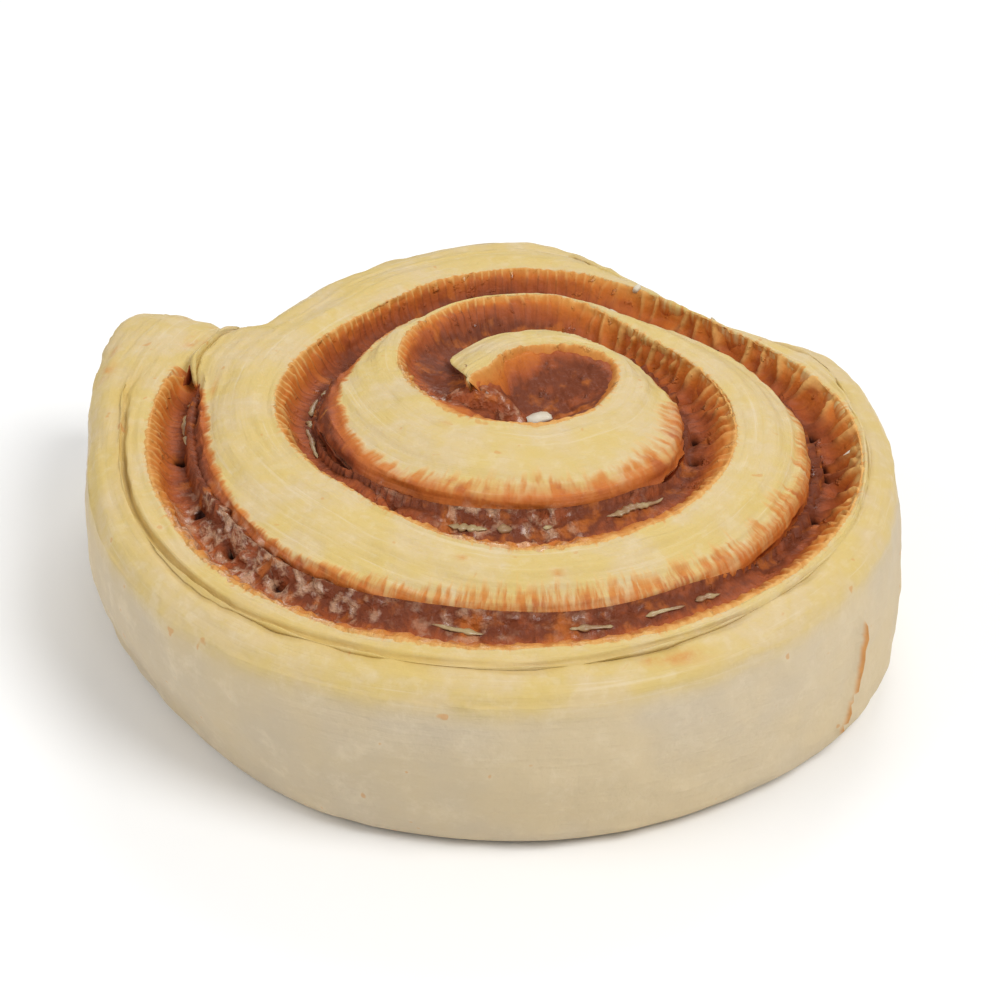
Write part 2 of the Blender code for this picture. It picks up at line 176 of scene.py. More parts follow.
# Holes in the crevice, dented and painted near black as their shade: turn, and depth
HOLES = (
    (1.3, 1.6), (1.52, 1.4), (1.56, 1.2), (1.86, 0.8), (2.33, 1.0), (2.37, 1.2), (2.41, 1.6), (2.45, 1.2),
    (2.495, 2.4), (2.523, 2.4), (2.532, 2.2), (2.573, 2.0), (2.869, 1.6), (2.901, 2.0), (2.934, 2.4),
    (2.979, 2.6),
)

# Cream chips on the paste: turn, radius, length, width, heading in degrees
WHITE_CHIPS = (
    (0.444, 0.9, 4.2, 2.2, 12.0), (1.322, 24.7, 2.2, 1.0, 40.0), (2.322, 30.9, 1.2, 0.7, 20.0),
    (2.38, 31.5, 1.3, 0.8, 60.0), (2.518, 37.6, 2.2, 0.8, 10.0),
)
# Streaks of melted fat in the crevice: first and last turn, distance out from its middle, width
FAT_STREAKS = (
    (2.985, 2.992, -0.9, 0.9), (2.996, 3.014, -0.7, 1.3), (3.019, 3.025, -0.8, 0.9),
    (1.955, 1.992, -0.4, 0.9), (1.995, 2.005, -0.6, 1.2), (2.012, 2.034, -0.4, 1.0),
    (2.038, 2.048, -0.5, 0.8), (1.785, 1.815, 0.0, 1.3), (1.766, 1.778, 0.2, 2.2),
    (1.735, 1.743, 0.1, 1.2), (1.63, 1.69, -0.2, 1.3),
    (2.66, 2.674, 0.0, 0.9), (2.68, 2.7, 0.1, 0.9), (2.715, 2.735, 0.1, 1.0), (2.772, 2.795, 0.1, 1.1),
)

# Fineness: millimetres between sections, and steps in each stretch of an outline
DOUGH_STEP, PASTE_STEP, FAT_STEP = 0.5, 0.4, 0.35
DOUGH_FINENESS = (1, 2, 4, 4, 4, 2, 8, 3, 3, 8, 3, 3, 3, 3, 7, 7, 3, 2, 2, 1)
PASTE_FINENESS = (1, 2, 6, 7, 9, 8, 3, 3, 1, 1, 1, 1)
TAIL_SHARES = (0.2, 0.4, 0.55, 0.7, 0.8, 0.9, 0.96, 1.0)
SLOPE_STEPS, ROUND_STEPS = 3, 4
SLANT_PASSES = 8
PLUG_SIDES, PLUG_RINGS = 260, 70
HEAP_SIDES, HEAP_RINGS = 72, 26
CHIP_SIDES, FAT_SIDES = 14, 10
# A chip's rings from its foot to its top: share of its size, and height
CHIP_RINGS = ((0.8, -0.3), (1.0, 0.2), (0.85, 0.4), (0.4, 0.48))
# Corners of the fine outlines, counted along their coarse ones
DOUGH_RIDGE, DOUGH_SPLIT, DOUGH_ROUND_END = 6, 8, 14
PASTE_INNER_EDGE, PASTE_CREVICE, PASTE_RIDGE, PASTE_BACK = 1, 3, 7, 8

# The stage: each lamp's place in metres, share of the power and size, then the camera
LAMPS = (
    ("key_lamp", (0.4, -0.3, 0.68), 1.0, 0.45),
    ("left_lamp", (-0.7, -0.2, 0.55), 0.55, 0.6),
    ("back_lamp", (0.1, 0.7, 0.6), 0.5, 0.5),
)
LAMPS_AIM = (0.0, 0.0, 0.02)
SENSOR_WIDTH, LENS_LENGTH, LENS_SHIFT = 36.0, 128.07, (0.006, -0.053)
CAMERA_PITCH, CAMERA_DISTANCE = 34.0, 0.42
CAMERA_AIM = (ROLL_CENTRE[0] - 4.5, ROLL_CENTRE[1] - 6.0, RIM_HEIGHT)


def clamp(value, low=0.0, high=1.0):
    return max(low, min(high, value))


def smooth(value):
    """0 to 1 with level ends."""
    value = clamp(value)
    return value * value * (3.0 - 2.0 * value)


def mix(first, second, share):
    return first + (second - first) * share


def bumps(turn, changes, length):
    """The sum of smooth local changes, each given as (turn, height)."""
    return sum(height * math.exp(-(((turn - middle) / length) ** 2)) for middle, height in changes)


def curve_through(values, place):
    """A smooth curve through evenly spaced values, at a place counted in their steps."""
    place = clamp(place, 0.0, len(values) - 1.001)
    step = int(place)
    share = place - step
    last = len(values) - 1
    a, b, c, d = (values[clamp(step + k, 0, last)] for k in (-1, 0, 1, 2))
    return b + 0.5 * share * (c - a + share * (2 * a - 5 * b + 4 * c - d + share * (3 * (b - c) + d - a)))


def ridge_radius(turn):
    return curve_through(RIDGE_RADII, 8.0 * turn)


def past_centre(turn):
    """0 in the open centre, 1 where a turn has another one inside it."""
    return smooth((turn - PAST_CENTRE_TURN) / PAST_CENTRE_LENGTH)


def slope_run(turn):
    return mix(PIT_SLOPE_RUN, SLOPE_RUN, past_centre(turn)) + bumps(turn, PINCHES, PINCH_LENGTH)


def crevice_radius(turn):
    return ridge_radius(turn) - slope_run(turn)


def pressed(turn):
    """0 where paste lies between this turn and the one inside it, 1 where the lobe is pressed onto it."""
    return smooth((turn - PRESSED_TURN) / PRESSED_LENGTH)


def on_side(turn):
    """0 where another turn lies outside this one, 1 where its outer face is the bun's own side."""
    return smooth((turn - (TAIL_TURN - 1.0)) / SIDE_START_LENGTH)


def side_radius(turn):
    return curve_through(SIDE_RADII, 16.0 * (turn - 2.0)) + SIDE_UNEVENNESS * unevenness(turn, 1.0)


def outer_radius(turn):
    gap = mix(GAP, CREASE_GAP, pressed(turn + 1.0))
    return mix(crevice_radius(turn + 1.0) - gap, side_radius(turn), on_side(turn))


def unevenness(turn, offset=0.0):
    """The slow rise and fall of hand-rolled dough, from -1 to 1."""
    return 0.6 * math.sin(17.0 * turn + offset) + 0.4 * math.sin(41.0 * turn + 2.0 * offset)


def plan_point(turn, radius):
    """Place on the plan, in millimetres from the bun's middle."""
    angle = math.pi - 2.0 * math.pi * turn
    return ROLL_CENTRE[0] + radius * math.cos(angle), ROLL_CENTRE[1] + radius * math.sin(angle)


def ridge_height(turn):
    x, y = plan_point(turn, ridge_radius(turn))
    return RIM_HEIGHT + CORE_RISE * clamp(1.0 - math.hypot(x, y) / DOME_REACH) + 0.25 * unevenness(turn)


def slope_point(turn, share):
    """Radius and height on the slope: 0 at the crevice, 1 at the ridge."""
    depth = mix(mix(PIT_SLOPE_DEPTH, CREVICE_DEPTH, past_centre(turn)), CREASE_DEPTH, pressed(turn))
    rise = math.sin(0.5 * math.pi * clamp(share)) ** SLOPE_HOLLOW
    return crevice_radius(turn) + slope_run(turn) * share, ridge_height(turn) - depth * (1.0 - rise)


def funnel_height(turn, radius):
    """The sloping floor of the open centre, from its rim in to the middle, closed past the tip."""
    closing = smooth((turn - FUNNEL_CLOSING_TURN) / FUNNEL_CLOSING_LENGTH)
    rim = mix(ridge_radius(turn), ridge_radius(0.0), closing)
    top = mix(ridge_height(turn), ridge_height(0.0), closing)
    return mix(RIM_HEIGHT + CORE_RISE - FUNNEL_FLOOR, top, clamp(radius / rim) ** 1.5)


def split_share(turn):
    """How far open the split in the outer turn is."""
    opens, open_at, closes, closed = SPLIT_TURNS
    return smooth((turn - opens) / (open_at - opens)) * smooth((closed - turn) / (closed - closes))


def quarter_round(start, end, steps):
    """From a level start round to an upright end, without the start itself."""
    angles = [0.5 * math.pi * k / steps for k in range(1, steps + 1)]
    return [(mix(start[0], end[0], math.sin(a)), mix(end[1], start[1], math.cos(a))) for a in angles]


def top_points(turn, shoulder):
    """The light top of the strip from its ridge to its shoulder, with the split in it."""
    ridge = ridge_radius(turn) + RIDGE_WIDTH
    top = ridge_height(turn)
    opened = split_share(turn)
    room = shoulder[0] - ridge
    split = clamp(mix(0.5 * room, SPLIT_FROM_RIDGE, on_side(turn)), 0.3 * room, 0.8 * room)
    half = mix(0.2 * room, min(0.5 * SPLIT_WIDTH, 0.2 * room), opened)
    points = [(ridge, top)]
    for run, depth in ((split - half, 0.0), (split, SPLIT_DEPTH * opened), (split + half, 0.0)):
        share = run / room
        level = mix(top, shoulder[1], share**1.5) + SPLIT_LIP * math.sin(math.pi * share)
        points.append((ridge + run, level - depth))
    return [*points, shoulder]


def shoulder_round(turn):
    """Width and depth of the outer rounding."""
    near_lobe, side = pressed(turn + 1.0), on_side(turn)
    sizes = zip(SHOULDER_ROUND, CREASE_ROUND, SIDE_ROUND)
    return [mix(mix(whole, crease, near_lobe), outermost, side) for whole, crease, outermost in sizes]


def outer_face(turn, shoulder):
    """Down from the shoulder to the foot, on the outer side."""
    outer = outer_radius(turn)
    side = on_side(turn)
    lean = (SIDE_LEAN + bumps(turn, LEANS, LEAN_LENGTH)) * side
    foot_width = mix(BASE_BEVEL, SIDE_FOOT_ROUND[0], side)
    foot_height = mix(BASE_BEVEL, SIDE_FOOT_ROUND[1], side)
    points = quarter_round(shoulder, (outer, shoulder[1] - shoulder_round(turn)[1]), ROUND_STEPS)
    points.append((outer + SIDE_BULGE * side - 0.3 * lean, mix(points[-1][1], foot_height, 0.5)))
    points.append((outer - lean, foot_height))
    for k in (1, 2, 3):
        angle = math.pi / 6.0 * k
        radius = outer - lean - foot_width * (1.0 - math.cos(angle))
        points.append((radius, foot_height * (1.0 - math.sin(angle))))
    return points


def dough_section(turn):
    """Outline of the strip across its length, as (radius, height), up the inner side and down the outer."""
    foot = crevice_radius(turn)
    side = on_side(turn)
    drop = SHOULDER_DROP * mix(1.0, 0.4, max(side, pressed(turn + 1.0)))
    drop += bumps(turn, (RIM_SAG,), LEAN_LENGTH) * side
    least = ridge_radius(turn) + RIDGE_WIDTH + TOP_LEAST
    shoulder = (max(outer_radius(turn) - shoulder_round(turn)[0], least), ridge_height(turn) - drop)
    sunk = (PASTE_COAT + PASTE_CLEARANCE) * (1.0 - pressed(turn))
    points = [(foot + BASE_BEVEL, 0.0), (foot, BASE_BEVEL)]
    for k in range(SLOPE_STEPS + 1):
        share = k / SLOPE_STEPS
        radius, height = slope_point(turn, share)
        back = (1.0 - share**3) * (1.0 - pressed(turn))
        narrow = clamp(1.0 - slope_run(turn) / SLOPE_RUN) * (1.0 - pressed(turn)) * (1.0 - share**4)
        under_paste = (sunk + SET_BACK * back) * mix(1.0, 0.25, share)
        points.append((radius + back, height - under_paste - NARROW_SINK * narrow))
    return points + top_points(turn, shoulder) + outer_face(turn, shoulder)


def tip_face_radius(turn):
    """How far out the slanted end of the strip's tip lies at this turn."""
    return mix(ridge_radius(turn), outer_radius(turn), (turn - TIP_TURN) / TIP_SLANT)


def paste_inner_radius(turn):
    """Inner side of the paste: its lining in the centre, then just inside the tip and the turn within."""
    lining = crevice_radius(turn) - PASTE_CLEARANCE - LINING
    near_tip = crevice_radius(TIP_TURN) - PASTE_CLEARANCE
    if turn <= TIP_FACE_TURN:
        start, end = LINING_TURNS
        return mix(lining, near_tip, smooth((turn - start) / (end - start)))
    into_tip = INTO_TIP * (1.0 - smooth((turn - INTO_TIP_END) / INTO_TIP_FADE))
    past_tip = tip_face_radius(turn - 1.0) + 2.5 * PASTE_CLEARANCE - into_tip
    past_tip = mix(near_tip, past_tip, clamp((turn - TIP_FACE_TURN) / TIP_FACE_LENGTH))
    return min(past_tip, crevice_radius(turn) - GAP + PASTE_CLEARANCE)


def in_space(turn, radius, height):
    return (*plan_point(turn, radius), height)


def placed(section_at, turn):
    """The section's points, each with its turn. Near the tip the outer side is carried further along."""
    slant = TIP_SLANT * clamp(1.0 - (turn - TIP_TURN) / SLANT_FADE)
    points = []
    for k, point in enumerate(section_at(turn)):
        along = turn
        for _ in range(SLANT_PASSES if slant > 0.0 else 0):
            ridge = ridge_radius(along)
            along = turn + slant * clamp((point[0] - ridge) / (outer_radius(along) - ridge))
            point = section_at(along)[k]
        points.append((*in_space(along, *point), along))
    return points


def drawn_in(section, share, inset, sag):
    """The section narrowed and lowered, for a rounded end: share 0 is where the rounding starts."""
    inner = min(radius for radius, _ in section)
    outer = max(radius for radius, _ in section)
    top = max(height for _, height in section)
    round_share = 1.0 - math.sqrt(max(1.0 - share * share, 0.0))
    low, high = inner + inset[0] * round_share, outer - inset[1] * round_share
    points = []
    for radius, height in section:
        across = (radius - inner) / (outer - inner)
        points.append((mix(low, high, across), height - sag * share * share * smooth(height / top)))
    return points


# Fine strips
def running_length(turn):
    """Length along the strip's ridge up to this turn, or array of turns."""
    turns = np.linspace(-0.2, 3.2, 1200)
    points = np.array([plan_point(t, ridge_radius(t)) for t in turns])
    lengths = np.concatenate([[0.0], np.cumsum(np.linalg.norm(np.diff(points, axis=0), axis=1))])
    return np.interp(turn, turns, lengths)


def even_turns(first, last, step):
    """Turns from first to last, this many millimetres apart along the ridge."""
    turns = np.linspace(first, last, 3000)
    lengths = running_length(turns)
    count = int((lengths[-1] - lengths[0]) / step)
    return np.interp(np.linspace(lengths[0], lengths[-1], count), lengths, turns)


def refined(rows, fineness):
    """Each closed outline as a smooth curve with these steps in each stretch, and where its corners fall."""
    coarse = np.array(rows)
    corners = [0, *np.cumsum(fineness)[:-1]]
    columns = []
    for k, steps in enumerate(fineness):
        a, b, c, d = (coarse[:, (k + shift) % len(fineness)] for shift in (-1, 0, 1, 2))
        for share in np.arange(steps) / steps:
            curve = c - a + share * (2 * a - 5 * b + 4 * c - d + share * (3 * (b - c) + d - a))
            columns.append(b + 0.5 * share * curve)
    return np.stack(columns, axis=1), corners


def across_from(grid, corner, direction=1):
    """Distance along each outline from one of its corners."""
    steps = np.linalg.norm(np.diff(grid[..., :3], axis=1), axis=2)
    run = np.concatenate([np.zeros((len(grid), 1)), np.cumsum(steps, axis=1)], axis=1)
    return direction * (run - run[:, corner : corner + 1])


def outward(grid):
    """Unit vectors standing off the surface of a closed strip."""
    along = np.gradient(grid, axis=0)
    across = np.roll(grid, -1, axis=1) - np.roll(grid, 1, axis=1)
    normal = np.cross(across, along)
    return normal / np.maximum(np.linalg.norm(normal, axis=2, keepdims=True), 1e-9)


def field(*parts):
    """Smooth noise, one value for each point of the grid, from three arrays of coordinates or numbers."""
    shape = np.broadcast(*parts).shape
    flat = np.stack([np.broadcast_to(part, shape).ravel() for part in parts], axis=1)
    return np.array([noise.noise(Vector(place)) for place in flat.tolist()]).reshape(shape)


def eased(array):
    array = np.clip(array, 0.0, 1.0)
    return array * array * (3.0 - 2.0 * array)


def near(turns, places, length):
    """1 at the given turns, fading over this length, each place given as (turn, strength)."""
    return sum(strength * np.exp(-(((turns - place) / length) ** 2)) for place, strength in places)


def new_piece(name, points, faces, layers, material, node=None):
    """An object from points in millimetres, with a value for each point under each layer's name."""
    mesh = bpy.data.meshes.new(name)
    mesh.from_pydata((np.asarray(points) * MM).tolist(), [], faces)
    for layer, values in layers.items():
        numbers = np.ravel(values).astype(np.float32)
        mesh.attributes.new(layer, "FLOAT", "POINT").data.foreach_set("value", numbers)
    mesh.validate()
    mesh.shade_smooth()
    mesh.materials.append(material)
    piece = bpy.data.objects.new(name, mesh)
    bpy.context.scene.collection.objects.link(piece)
    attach(piece, "root")
    if node:
        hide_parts(node)
    return piece


def strip_faces(rows, columns):
    """Faces of a closed strip, capped at both ends."""
    row = np.arange(rows - 1)[:, None] * columns
    k = np.arange(columns)[None, :]
    after = (k + 1) % columns
    corners = np.stack([row + k, row + after, row + columns + after, row + columns + k], axis=-1)
    faces = corners.reshape(-1, 4)[:, ::-1].tolist()
    faces.append(list(range(columns)))
    faces.append(list(range((rows - 1) * columns, rows * columns))[::-1])
    return faces


def tube_faces(start, rings, sides, turned=False):
    """Faces between rings of points from this one on, turned over where the rings run the other way."""
    faces = []
    for ring in range(rings - 1):
        low, high = start + ring * sides, start + (ring + 1) * sides
        for k in range(sides):
            after = (k + 1) % sides
            second, last = (high + k, low + after) if turned else (low + after, high + k)
            faces.append([low + k, second, high + after, last])
    return faces


def lumps(x, y, z):
    """Slow unevenness shared by neighbouring pieces, about -1 to 1."""
    return field(x * 0.16, y * 0.16, z * 0.16) + 0.5 * field(x * 0.42, y * 0.42, z * 0.42 + 9.0)


# Dough
def crack_dent(turn, height):
    """How deep the upright crack is at each point of the side."""
    (top_turn, top_height), (low_turn, low_height) = CRACK_ENDS
    share = (height - top_height) / (low_height - top_height)
    wander = 0.25 * np.sin(9.0 * share) + 0.12 * np.sin(31.0 * share)
    middle = top_turn + (low_turn - top_turn) * share
    off = (turn - middle) * 2.0 * math.pi * CRACK_RADIUS - wander
    inside = np.clip(share * 8.0, 0.0, 1.0) * np.clip((1.0 - share) * 8.0, 0.0, 1.0)
    return np.exp(-((off / CRACK_HALF_WIDTH) ** 2)) * inside


def dough_grid():
    """Points of the strip with their turn, from its tip to its rounded end, and its outlines' corners."""
    rows = [placed(dough_section, turn) for turn in even_turns(TIP_TURN, TAIL_TURN, DOUGH_STEP)]
    for share in TAIL_SHARES:
        turn = TAIL_TURN + TAIL_ROUND_TURN * share
        end = drawn_in(dough_section(turn), share, TAIL_ROUND, TAIL_SAG)
        rows.append([(*in_space(turn, *point), turn) for point in end])
    return refined(rows, DOUGH_FINENESS)


def smeared_shoulder(turn, along, from_crevice):
    """How deep in the paste each point of the outer shoulder lies, in millimetres below zero."""
    turns_at, covered_to, fringe_run = zip(*SMEARED)
    covered = np.interp(turn, turns_at, covered_to) + 0.5 * field(along * 0.8, 1.0, 3.0)
    above_cover = (from_crevice - covered) / np.interp(turn, turns_at, fringe_run)
    return np.where(above_cover > 0.0, 3.4 * above_cover - 3.0, 1.5 * above_cover - 3.0)


def smear_share(turn, radius):
    """0 to 1: how strongly each point is smeared with paste."""
    share = np.zeros_like(turn)
    for at, out, length, width in SMEARS:
        off = ((turn - at) * 2.0 * math.pi * out / length) ** 2 + ((radius - out) / width) ** 2
        share = np.maximum(share, np.exp(-off))
    return share


def make_dough(relief, material):
    grid, corners = dough_grid()
    place, turn = grid[..., :3], grid[..., 3]
    x, y, z = np.moveaxis(place, 2, 0)
    along = running_length(turn)
    from_ridge = across_from(grid, corners[DOUGH_RIDGE])
    from_crevice = across_from(grid, corners[DOUGH_ROUND_END], -1)
    side = eased((turn - (TAIL_TURN - 1.0)) / SIDE_START_LENGTH)
    low = eased((z - 0.2) / 2.5)
    past_ridge = eased((from_ridge + 1.0) / 1.5)
    on_top = past_ridge * eased((from_crevice + 1.0) / 1.5)
    on_top = np.where(side > 0.5, past_ridge * eased((z - 17.0) / 4.0), on_top)

    # the surface: fibres and creases on the cut top, lumps of paste over the inner shoulders, the crack
    fibres = field(along * 0.05, from_ridge * 1.1, 3.0) + 0.6 * field(along * 0.09, from_ridge * 2.3, 7.0)
    crinkles = field(along * 1.1, from_ridge * 0.3, 5.0)
    edges = 0.6 * np.exp(-((from_ridge / 0.7) ** 2))
    edges += (1.0 - side) * np.exp(-(((from_crevice - 2.0) / 1.6) ** 2))
    creases = np.abs(field(along * 0.035, from_ridge * 0.45, 11.0))
    turns_at, covered_to, _ = zip(*SMEARED)
    coated = eased((np.interp(turn, turns_at, covered_to) - from_crevice) / 0.8 + 0.5)
    coated *= (1.0 - side) * (turn < turns_at[-1])
    bars = pillows(along / 1.3 + 1.5 * field(along * 0.3, 1.0, 1.0)) + 0.6 * field(along * 1.7, z * 0.8, 5.0)
    coat = 0.1 + 0.6 * paste_lumps(x, y) + 0.25 * field(x * 1.2, y * 1.2, z * 1.2) + 0.22 * bars
    lift = 0.28 * lumps(x, y, z) * relief.lumps + coated * coat
    lift += relief.fibres * (0.13 * fibres * on_top + 0.25 * np.minimum(creases * 6.0, 1.0) * on_top)
    lift += 0.22 * crinkles * edges
    lift += 0.25 * side * (1.0 - on_top) * field(x * 0.25, y * 0.25, z * 0.5)
    dent = crack_dent(turn, z) * side * (1.0 - on_top)
    lift -= CRACK_DEPTH * dent
    place = place + outward(place) * (lift * low)[..., None]
    place[..., 2] = np.maximum(place[..., 2], 0.0)

    # what the dough's material reads
    split_run = across_from(grid, corners[DOUGH_SPLIT])
    opened = np.array([split_share(row_turn) for row_turn in turn[:, corners[DOUGH_SPLIT]]])[:, None]
    groove = np.exp(-((split_run / 1.5) ** 2)) * np.clip(opened * 1.6, 0.0, 1.0) * side
    unstained = 9.0
    shoulder = smeared_shoulder(turn, along, from_crevice)
    shoulder = np.where((side > 0.5) | (turn > SHOULDER_STAIN_END), unstained, shoulder)
    depth = np.minimum(shoulder, np.where(turn > RIDGE_STAIN_END, unstained, 1.3 * from_ridge + 0.1))
    wet = np.clip(near(turn + 1.0, WET_PLACES, SHORT_FADE), 0.0, 1.0)
    radius = np.hypot(x - ROLL_CENTRE[0], y - ROLL_CENTRE[1])
    layers = {
        "along": along,
        "from_ridge": from_ridge,
        "depth": depth,
        "wet": 0.7 * wet * eased((-1.5 - depth) / 2.0),
        "smear": smear_share(turn, radius) * eased((z - 18.0) / 3.0),
        "side": side * (1.0 - eased((z - 18.5) / 4.0)),
        "groove": groove,
        "crack": dent,
        "floury": eased((turn - 2.5) / 0.4) * eased((3.1 - turn) / 0.2),
    }
    faces = strip_faces(*turn.shape)
    return new_piece("dough_strip", place.reshape(-1, 3), faces, layers, material, "dough")


# Paste
def behind_tip(turn):
    """0 in the open centre, 1 where the paste lies between two turns."""
    return smooth((turn - BEHIND_TIP_TURN) / BEHIND_TIP_LENGTH)


def crevice_fill(turn):
    """How high the paste stands in the crevice above the foot of the slope."""
    filled = 0.0
    for start, end in FILLED_TURNS:
        filled = max(filled, smooth((turn - start) / FILL_FADE) * smooth((end - turn) / FILL_FADE))
    return mix(FILL_LEAST, FILL_MOST, filled) * (behind_tip(turn) * smooth((PASTE_END - turn) / SHORT_FADE))


def paste_section(turn):
    """Outline of the paste: an upright leg between two turns, and a coat on the slope up to the ridge."""
    leg_out = crevice_radius(turn)
    leg_in = paste_inner_radius(turn)
    edge = slope_point(turn, 0.0)[1]
    lining = 1.0 - smooth((turn - LINING_FADE_TURN) / LINING_FADE_LENGTH)
    fill = crevice_fill(turn)
    between = behind_tip(turn)
    inner_edge = mix(funnel_height(turn, leg_in), edge - 0.5, between)
    heap = bumps(turn, (TIP_HEAP,), TIP_HEAP_LENGTH)
    heap *= smooth((turn - TIP_HEAP_TURN) / TIP_HEAP_RISE)
    inner_edge = mix(inner_edge, ridge_height(turn) - 0.9, heap) + fill + 0.6 * between - 3.0 * lining
    inner_edge += bumps(turn, SQUEEZED_UP, SQUEEZED_LENGTH)
    middle = mix(leg_in, leg_out, 0.5)
    points = [
        (leg_in, PASTE_CLEARANCE),
        (leg_in, inner_edge - 1.5),
        (leg_in - 1.0 * between, inner_edge),
        (middle, mix(inner_edge, edge + fill, 0.7) - 1.2 * lining),
    ]
    for share in (1 / 3, 2 / 3, 0.93):
        radius, height = slope_point(turn, share)
        filled_up = max(height, edge + fill * (1.0 - share)) - 0.6 * lining * (1.0 - share**4)
        points.append((radius, filled_up + 0.12 * unevenness(turn, 2.0 * share)))
    ridge, top = slope_point(turn, 1.0)
    points.append((ridge + 0.25, top - 0.12))
    points.append((ridge + 0.8, top - 0.9))
    points.append((max(ridge - 0.1, leg_out + 1.6), top - 1.4))
    points.append((leg_out + 1.2, edge - 1.2))
    points.append((leg_out + 1.2, PASTE_CLEARANCE))
    ending = 1.0 - smooth((PASTE_END - turn) / PASTE_END_LENGTH)
    drop = 1.5 * ending
    return [(mix(radius, middle, 0.5 * ending), max(height - drop, 0.0)) for radius, height in points]


def pillows(phase):
    """Rounded ribs with narrow creases between them, one to each whole number."""
    share = np.abs((phase % 1.0) * 2.0 - 1.0)
    return 1.0 - share**2.5


def paste_lumps(x, y):
    """Lumps of the paste over a place on the plan."""
    return 0.35 * field(x * 0.45, y * 0.45, 21.0) + 0.2 * field(x * 1.1, y * 1.1, 23.0)


def rib_count(turn):
    """Number of ribs from the tip up to this turn."""
    turns = np.linspace(-0.2, 3.2, 3000)
    spacing = np.interp(turns, *zip(*RIB_SPACING))
    counts = np.concatenate([[0.0], np.cumsum(np.diff(running_length(turns)) / spacing[1:])])
    return np.interp(turn, turns, counts)


def make_paste(relief, material):
    turns = even_turns(TIP_TURN, PASTE_END, PASTE_STEP)
    rows = [placed(paste_section, turn) for turn in turns]
    grid, corners = refined(rows, PASTE_FINENESS)
    place, turn = grid[..., :3], grid[..., 3]
    x, y, z = np.moveaxis(place, 2, 0)
    along = running_length(turn)
    from_ridge = across_from(grid, corners[PASTE_RIDGE])
    from_crevice = across_from(grid, corners[PASTE_CREVICE])
    from_ridge[:, corners[PASTE_BACK] :] = -3.0
    shown = np.zeros_like(turn)
    shown[:, corners[PASTE_INNER_EDGE] : corners[PASTE_BACK]] = 1.0
    on_slope = eased((np.abs(from_crevice) - 0.3) / 1.5) * shown
    broad = np.clip(near(turn, BROAD_RIBS, SHORT_FADE), 0.0, 1.0)
    fine = np.clip(near(turn, FINE_RIBS, LONG_FADE), 0.0, 1.0) * (1.0 - broad)
    wander = field(along * 0.2, from_ridge * 0.1, 2.0)
    phase = rib_count(turn) + 1.1 * wander
    uneven = 0.65 + 0.9 * np.abs(field(along * 0.35, 3.0, 8.0))
    ribs = (1.6 * broad + 0.5 * fine + 0.14) * pillows(phase) * uneven
    ribs += 0.16 * pillows(phase * 3.0 + wander) * (broad + fine)
    ragged = field(along * 1.3, from_ridge * 0.35, 13.0)
    near_edge = eased((from_ridge + 1.3) / 1.3)
    lift = 0.28 * lumps(x, y, z) * shown * eased((turn - 1.0) / 0.2)
    lift += relief.ribs * (ribs - 0.1 * broad - 0.1) * on_slope * (1.0 - 0.8 * near_edge)
    lift += paste_lumps(x, y) * shown * (1.0 - 0.5 * on_slope) * (1.0 - 0.7 * near_edge)
    lift += 0.3 * ragged * np.exp(-((from_ridge / 0.8) ** 2)) * shown
    wet = np.clip(near(turn, WET_PLACES, SHORT_FADE), 0.0, 1.0)
    lift += 0.7 * wet * shown * (1.0 - near_edge) * (field(x * 0.7, y * 0.7, 31.0) + 0.4)
    hole_depth = sum(depth * np.exp(-(((along - running_length(at)) / 0.8) ** 2)) for at, depth in HOLES)
    in_crevice = np.exp(-((from_crevice / 0.9) ** 2)) * shown
    place = place + outward(place) * lift[..., None]
    place[..., 2] -= hole_depth * in_crevice
    darkened = 2.0 * np.clip(near(turn, DARKER_PLACES, LONG_FADE), 0.0, 1.0)
    layers = {
        "along": along,
        "depth": from_ridge * (1.0 - 0.1 * broad) - darkened * eased((-0.5 - from_ridge) / 1.5),
        "rib": phase,
        "broad": broad,
        "fine": fine,
        "wet": wet,
        "hole": np.clip(hole_depth * in_crevice, 0.0, 2.0),
    }
    points, faces = place.reshape(-1, 3), strip_faces(*turn.shape)
    return new_piece("paste_layer", points, faces, layers, material, "cinnamon_filling")


def plug_rim(turn):
    """The plug reaches up the slope of the open centre; past the tip it ends under the paste beside it."""
    up_the_slope = mix(crevice_radius(turn), ridge_radius(turn), PLUG_REACH)
    at_the_tip = mix(crevice_radius(0.0), ridge_radius(0.0), PLUG_REACH)
    beside_tip = crevice_radius(TIP_TURN) + PASTE_CLEARANCE
    rim = mix(up_the_slope, beside_tip, smooth((turn - PLUG_END_TURN) / PLUG_END_LENGTH))
    return mix(rim, at_the_tip, smooth((turn - TIP_FACE_TURN) / (1.0 - TIP_FACE_TURN)))


